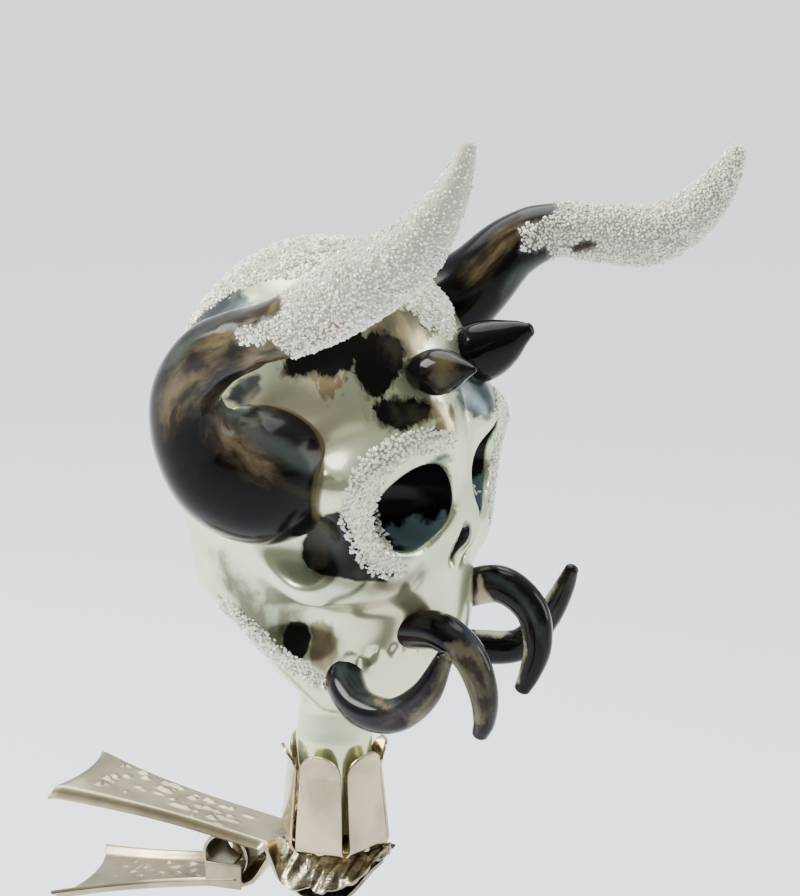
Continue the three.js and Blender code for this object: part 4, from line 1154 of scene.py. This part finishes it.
def veins(s, v):
    """Height of the leaf veins that are embossed in the jaw."""
    broad = np.sin(s * 1.9 + 2.2 * np.sin(v * 5.5 + 0.4) + 3 * v)
    fine = np.sin(s * 3.3 - v * 8 + 1.3 * np.sin(s * 0.9))
    return VEIN_RISE * (broad + 0.7 * fine) * eased(HANDLE_ROOT + 1.5, JAW_START + 3, s)


def upper_place(u, v):
    s = HANDLE_END + (JAW_TIP - HANDLE_END) * (u + 1) / 2
    lip_share = eased(0.82, 1, np.abs(v))
    rim = jaw_width(s) + 0.55 * np.sin(s * 1.3 + 0.6) * lip_share
    half = np.where(s < HANDLE_ROOT, handle_width(s), rim)
    rise = UPPER_HANDLE_RISE * np.clip((HANDLE_ROOT + 1 - s) / (HANDLE_ROOT - HANDLE_END), 0, 1)
    lip = HANDLE_LIP * lip_share * (1 - eased(HANDLE_ROOT - 2, HANDLE_ROOT, s))
    marks = bumps(s, v, 5, 48, HANDLE_END + 5, HANDLE_ROOT - 6) + veins(s, v)
    return np.column_stack((fishtail(s, v), v * half, jaw_top(s, v) + rise - lip + marks))


def lower_place(u, v):
    s = HANDLE_END + (JAW_TIP - 0.5 - HANDLE_END) * (u + 1) / 2
    ramp_top = HANDLE_ROOT + 1
    lip_share = eased(0.82, 1, np.abs(v))
    rise = LOWER_HANDLE_RISE * np.clip((s - HANDLE_END) / (RAMP_FOOT - HANDLE_END), 0, 1)
    lip = HANDLE_LIP * lip_share * (1 - eased(RAMP_FOOT - 1.5, RAMP_FOOT, s))
    marks = bumps(s, v, 9, 36, HANDLE_END + 5, RAMP_FOOT - 8)
    handle = rise - LOWER_HANDLE_DROP + lip + marks
    foot = LOWER_HANDLE_RISE - LOWER_HANDLE_DROP
    gape = MOUTH * eased(ramp_top + 0.6, -3, s) * (1 - eased(3, JAW_TIP - 1, s))
    half = HANDLE_WAIST - 1 + (jaw_width(s) * 0.72 - HANDLE_WAIST + 1) * eased(ramp_top, -4, s)
    under = jaw_top(s, v * half / (jaw_width(s) - 0.5)) - SHEET - 0.5 - gape
    front = foot + (under - foot) * eased(RAMP_FOOT, ramp_top, s)
    behind = s < RAMP_FOOT
    width = np.where(behind, handle_width(s), half)
    return np.column_stack((fishtail(s, v), v * width, np.where(behind, handle, front)))


def pressed_plate(name, place):
    plate = from_grid(name, 200, 44, place)
    apply_modifier(plate, "SOLIDIFY", thickness=SHEET * MM, offset=-1)
    round_edges(plate, 0.18, 3, 55)
    return plate


stamped = blank_material("stamped_nickel_plate")
tree = stamped.node_tree
colour = over(tree, (0.38, 0.33, 0.22), (0.27, 0.23, 0.15), cloud(tree, 150, 0.4, 0.65, detail=4.0))
spot = new_nodes(tree, "ShaderNodeTexCoord").outputs["Object"]
level = new_nodes(tree, "ShaderNodeVectorMath", {0: spot, 1: (1, 1, 0)}, operation="MULTIPLY").outputs[0]
from_axis = new_nodes(tree, "ShaderNodeVectorMath", {0: level}, operation="LENGTH").outputs["Value"]
in_jaw = new_nodes(tree, "ShaderNodeMapRange", {0: from_axis, 1: 10.5 * MM, 2: 8.5 * MM}).outputs[0]
# Within about 10 mm of the upright axis, under the collet, the plate is painted darker and mottled.
jaw_mottle = cloud(tree, 700, 0.35, 0.65, detail=5.0)
darker_near_axis = over(tree, (0.30, 0.27, 0.20), (0.10, 0.09, 0.07), jaw_mottle)
colour = over(tree, colour, darker_near_axis, times(tree, in_jaw, 0.85))
leaf = new_nodes(tree, "ShaderNodeTexNoise", {"Vector": place_of(tree), "Scale": 520.0, "Detail": 4.0,
                                              "Distortion": 1.5}).outputs[0]
embossed = new_nodes(tree, "ShaderNodeBump", {"Height": times(tree, leaf, in_jaw), "Strength": 0.32,
                                              "Distance": 0.0006}).outputs[0]
finish_material(tree, colour, blend_value(tree, 0.34, 0.24, in_jaw), 1.0, embossed)

upper_plate = pressed_plate("upper_plate_metal", upper_place)
upper_plate.data.transform(CLIP_TURN)
lower_plate = pressed_plate("lower_plate_metal", lower_place)
ears = [lower_plate]
for side in (-1, 1):
    place = Vector((EAR_PLACE[0], side * EAR_PLACE[1], EAR_PLACE[2])) * MM
    bpy.ops.mesh.primitive_cube_add(size=1, location=place, scale=Vector(EAR_SIZE) * MM)
    ear = bpy.context.object
    bpy.ops.object.transform_apply(location=True, rotation=True, scale=True)
    apply_modifier(ear, "BEVEL", width=0.2 * MM, segments=3)
    ears.append(ear)
lower_plate = joined("lower_plate_metal", ears)
lower_plate.data.transform(CLIP_TURN)
for plate, node, body in ((upper_plate, "upper_plate", "ornament"), (lower_plate, "lower_plate", "lower_jaw")):
    smooth_faces(plate, crease=40)
    plate.data.materials.append(stamped)
    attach(plate, body)
    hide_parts(node)

# Spring
# A flat band of spring steel, rolled to an open ring and held between the lower handle's ears. Its
# top bears on the upper handle and its foot on the lower one.
RING_S = -17.2
RING_Z = -2.65
RING_RADIUS = 3.95
RING_WIDTH = 9
RING_GAP = 30           # how much of the ring is left open, in degrees
RING_BOTTOM = -85       # where, on the ring


def ring_place(u, v):
    turn = np.radians(RING_BOTTOM + RING_GAP / 2) + (u + 1) / 2 * np.radians(360 - RING_GAP)
    return np.column_stack((RING_S + RING_RADIUS * np.cos(turn), v * RING_WIDTH / 2,
                            RING_Z + RING_RADIUS * np.sin(turn)))


spring = from_grid("spring_band", 90, 8, ring_place)
only(spring)
bpy.ops.object.mode_set(mode="EDIT")
bpy.ops.mesh.select_all(action="SELECT")
bpy.ops.mesh.normals_make_consistent(inside=False)
bpy.ops.object.mode_set(mode="OBJECT")
apply_modifier(spring, "SOLIDIFY", thickness=SHEET * MM, offset=-1)
round_edges(spring, 0.15, 2, 55)
spring.data.transform(CLIP_TURN)
smooth_faces(spring, crease=40)
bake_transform(spring)
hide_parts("spring")

spring_steel = blank_material("plated_spring_steel")
tree = spring_steel.node_tree
colour = over(tree, (0.38, 0.34, 0.26), (0.22, 0.19, 0.145), cloud(tree, 240, 0.4, 0.65, detail=4.0))
rolled = new_nodes(tree, "ShaderNodeTexNoise",
                   {"Vector": place_of(tree, (1, 1, 0.1)), "Scale": 2400.0}).outputs[0]
lines = new_nodes(tree, "ShaderNodeBump", {"Height": rolled, "Strength": 0.1, "Distance": 0.0001}).outputs[0]
finish_material(tree, colour, 0.24, 1.0, lines)
spring.data.materials.append(spring_steel)
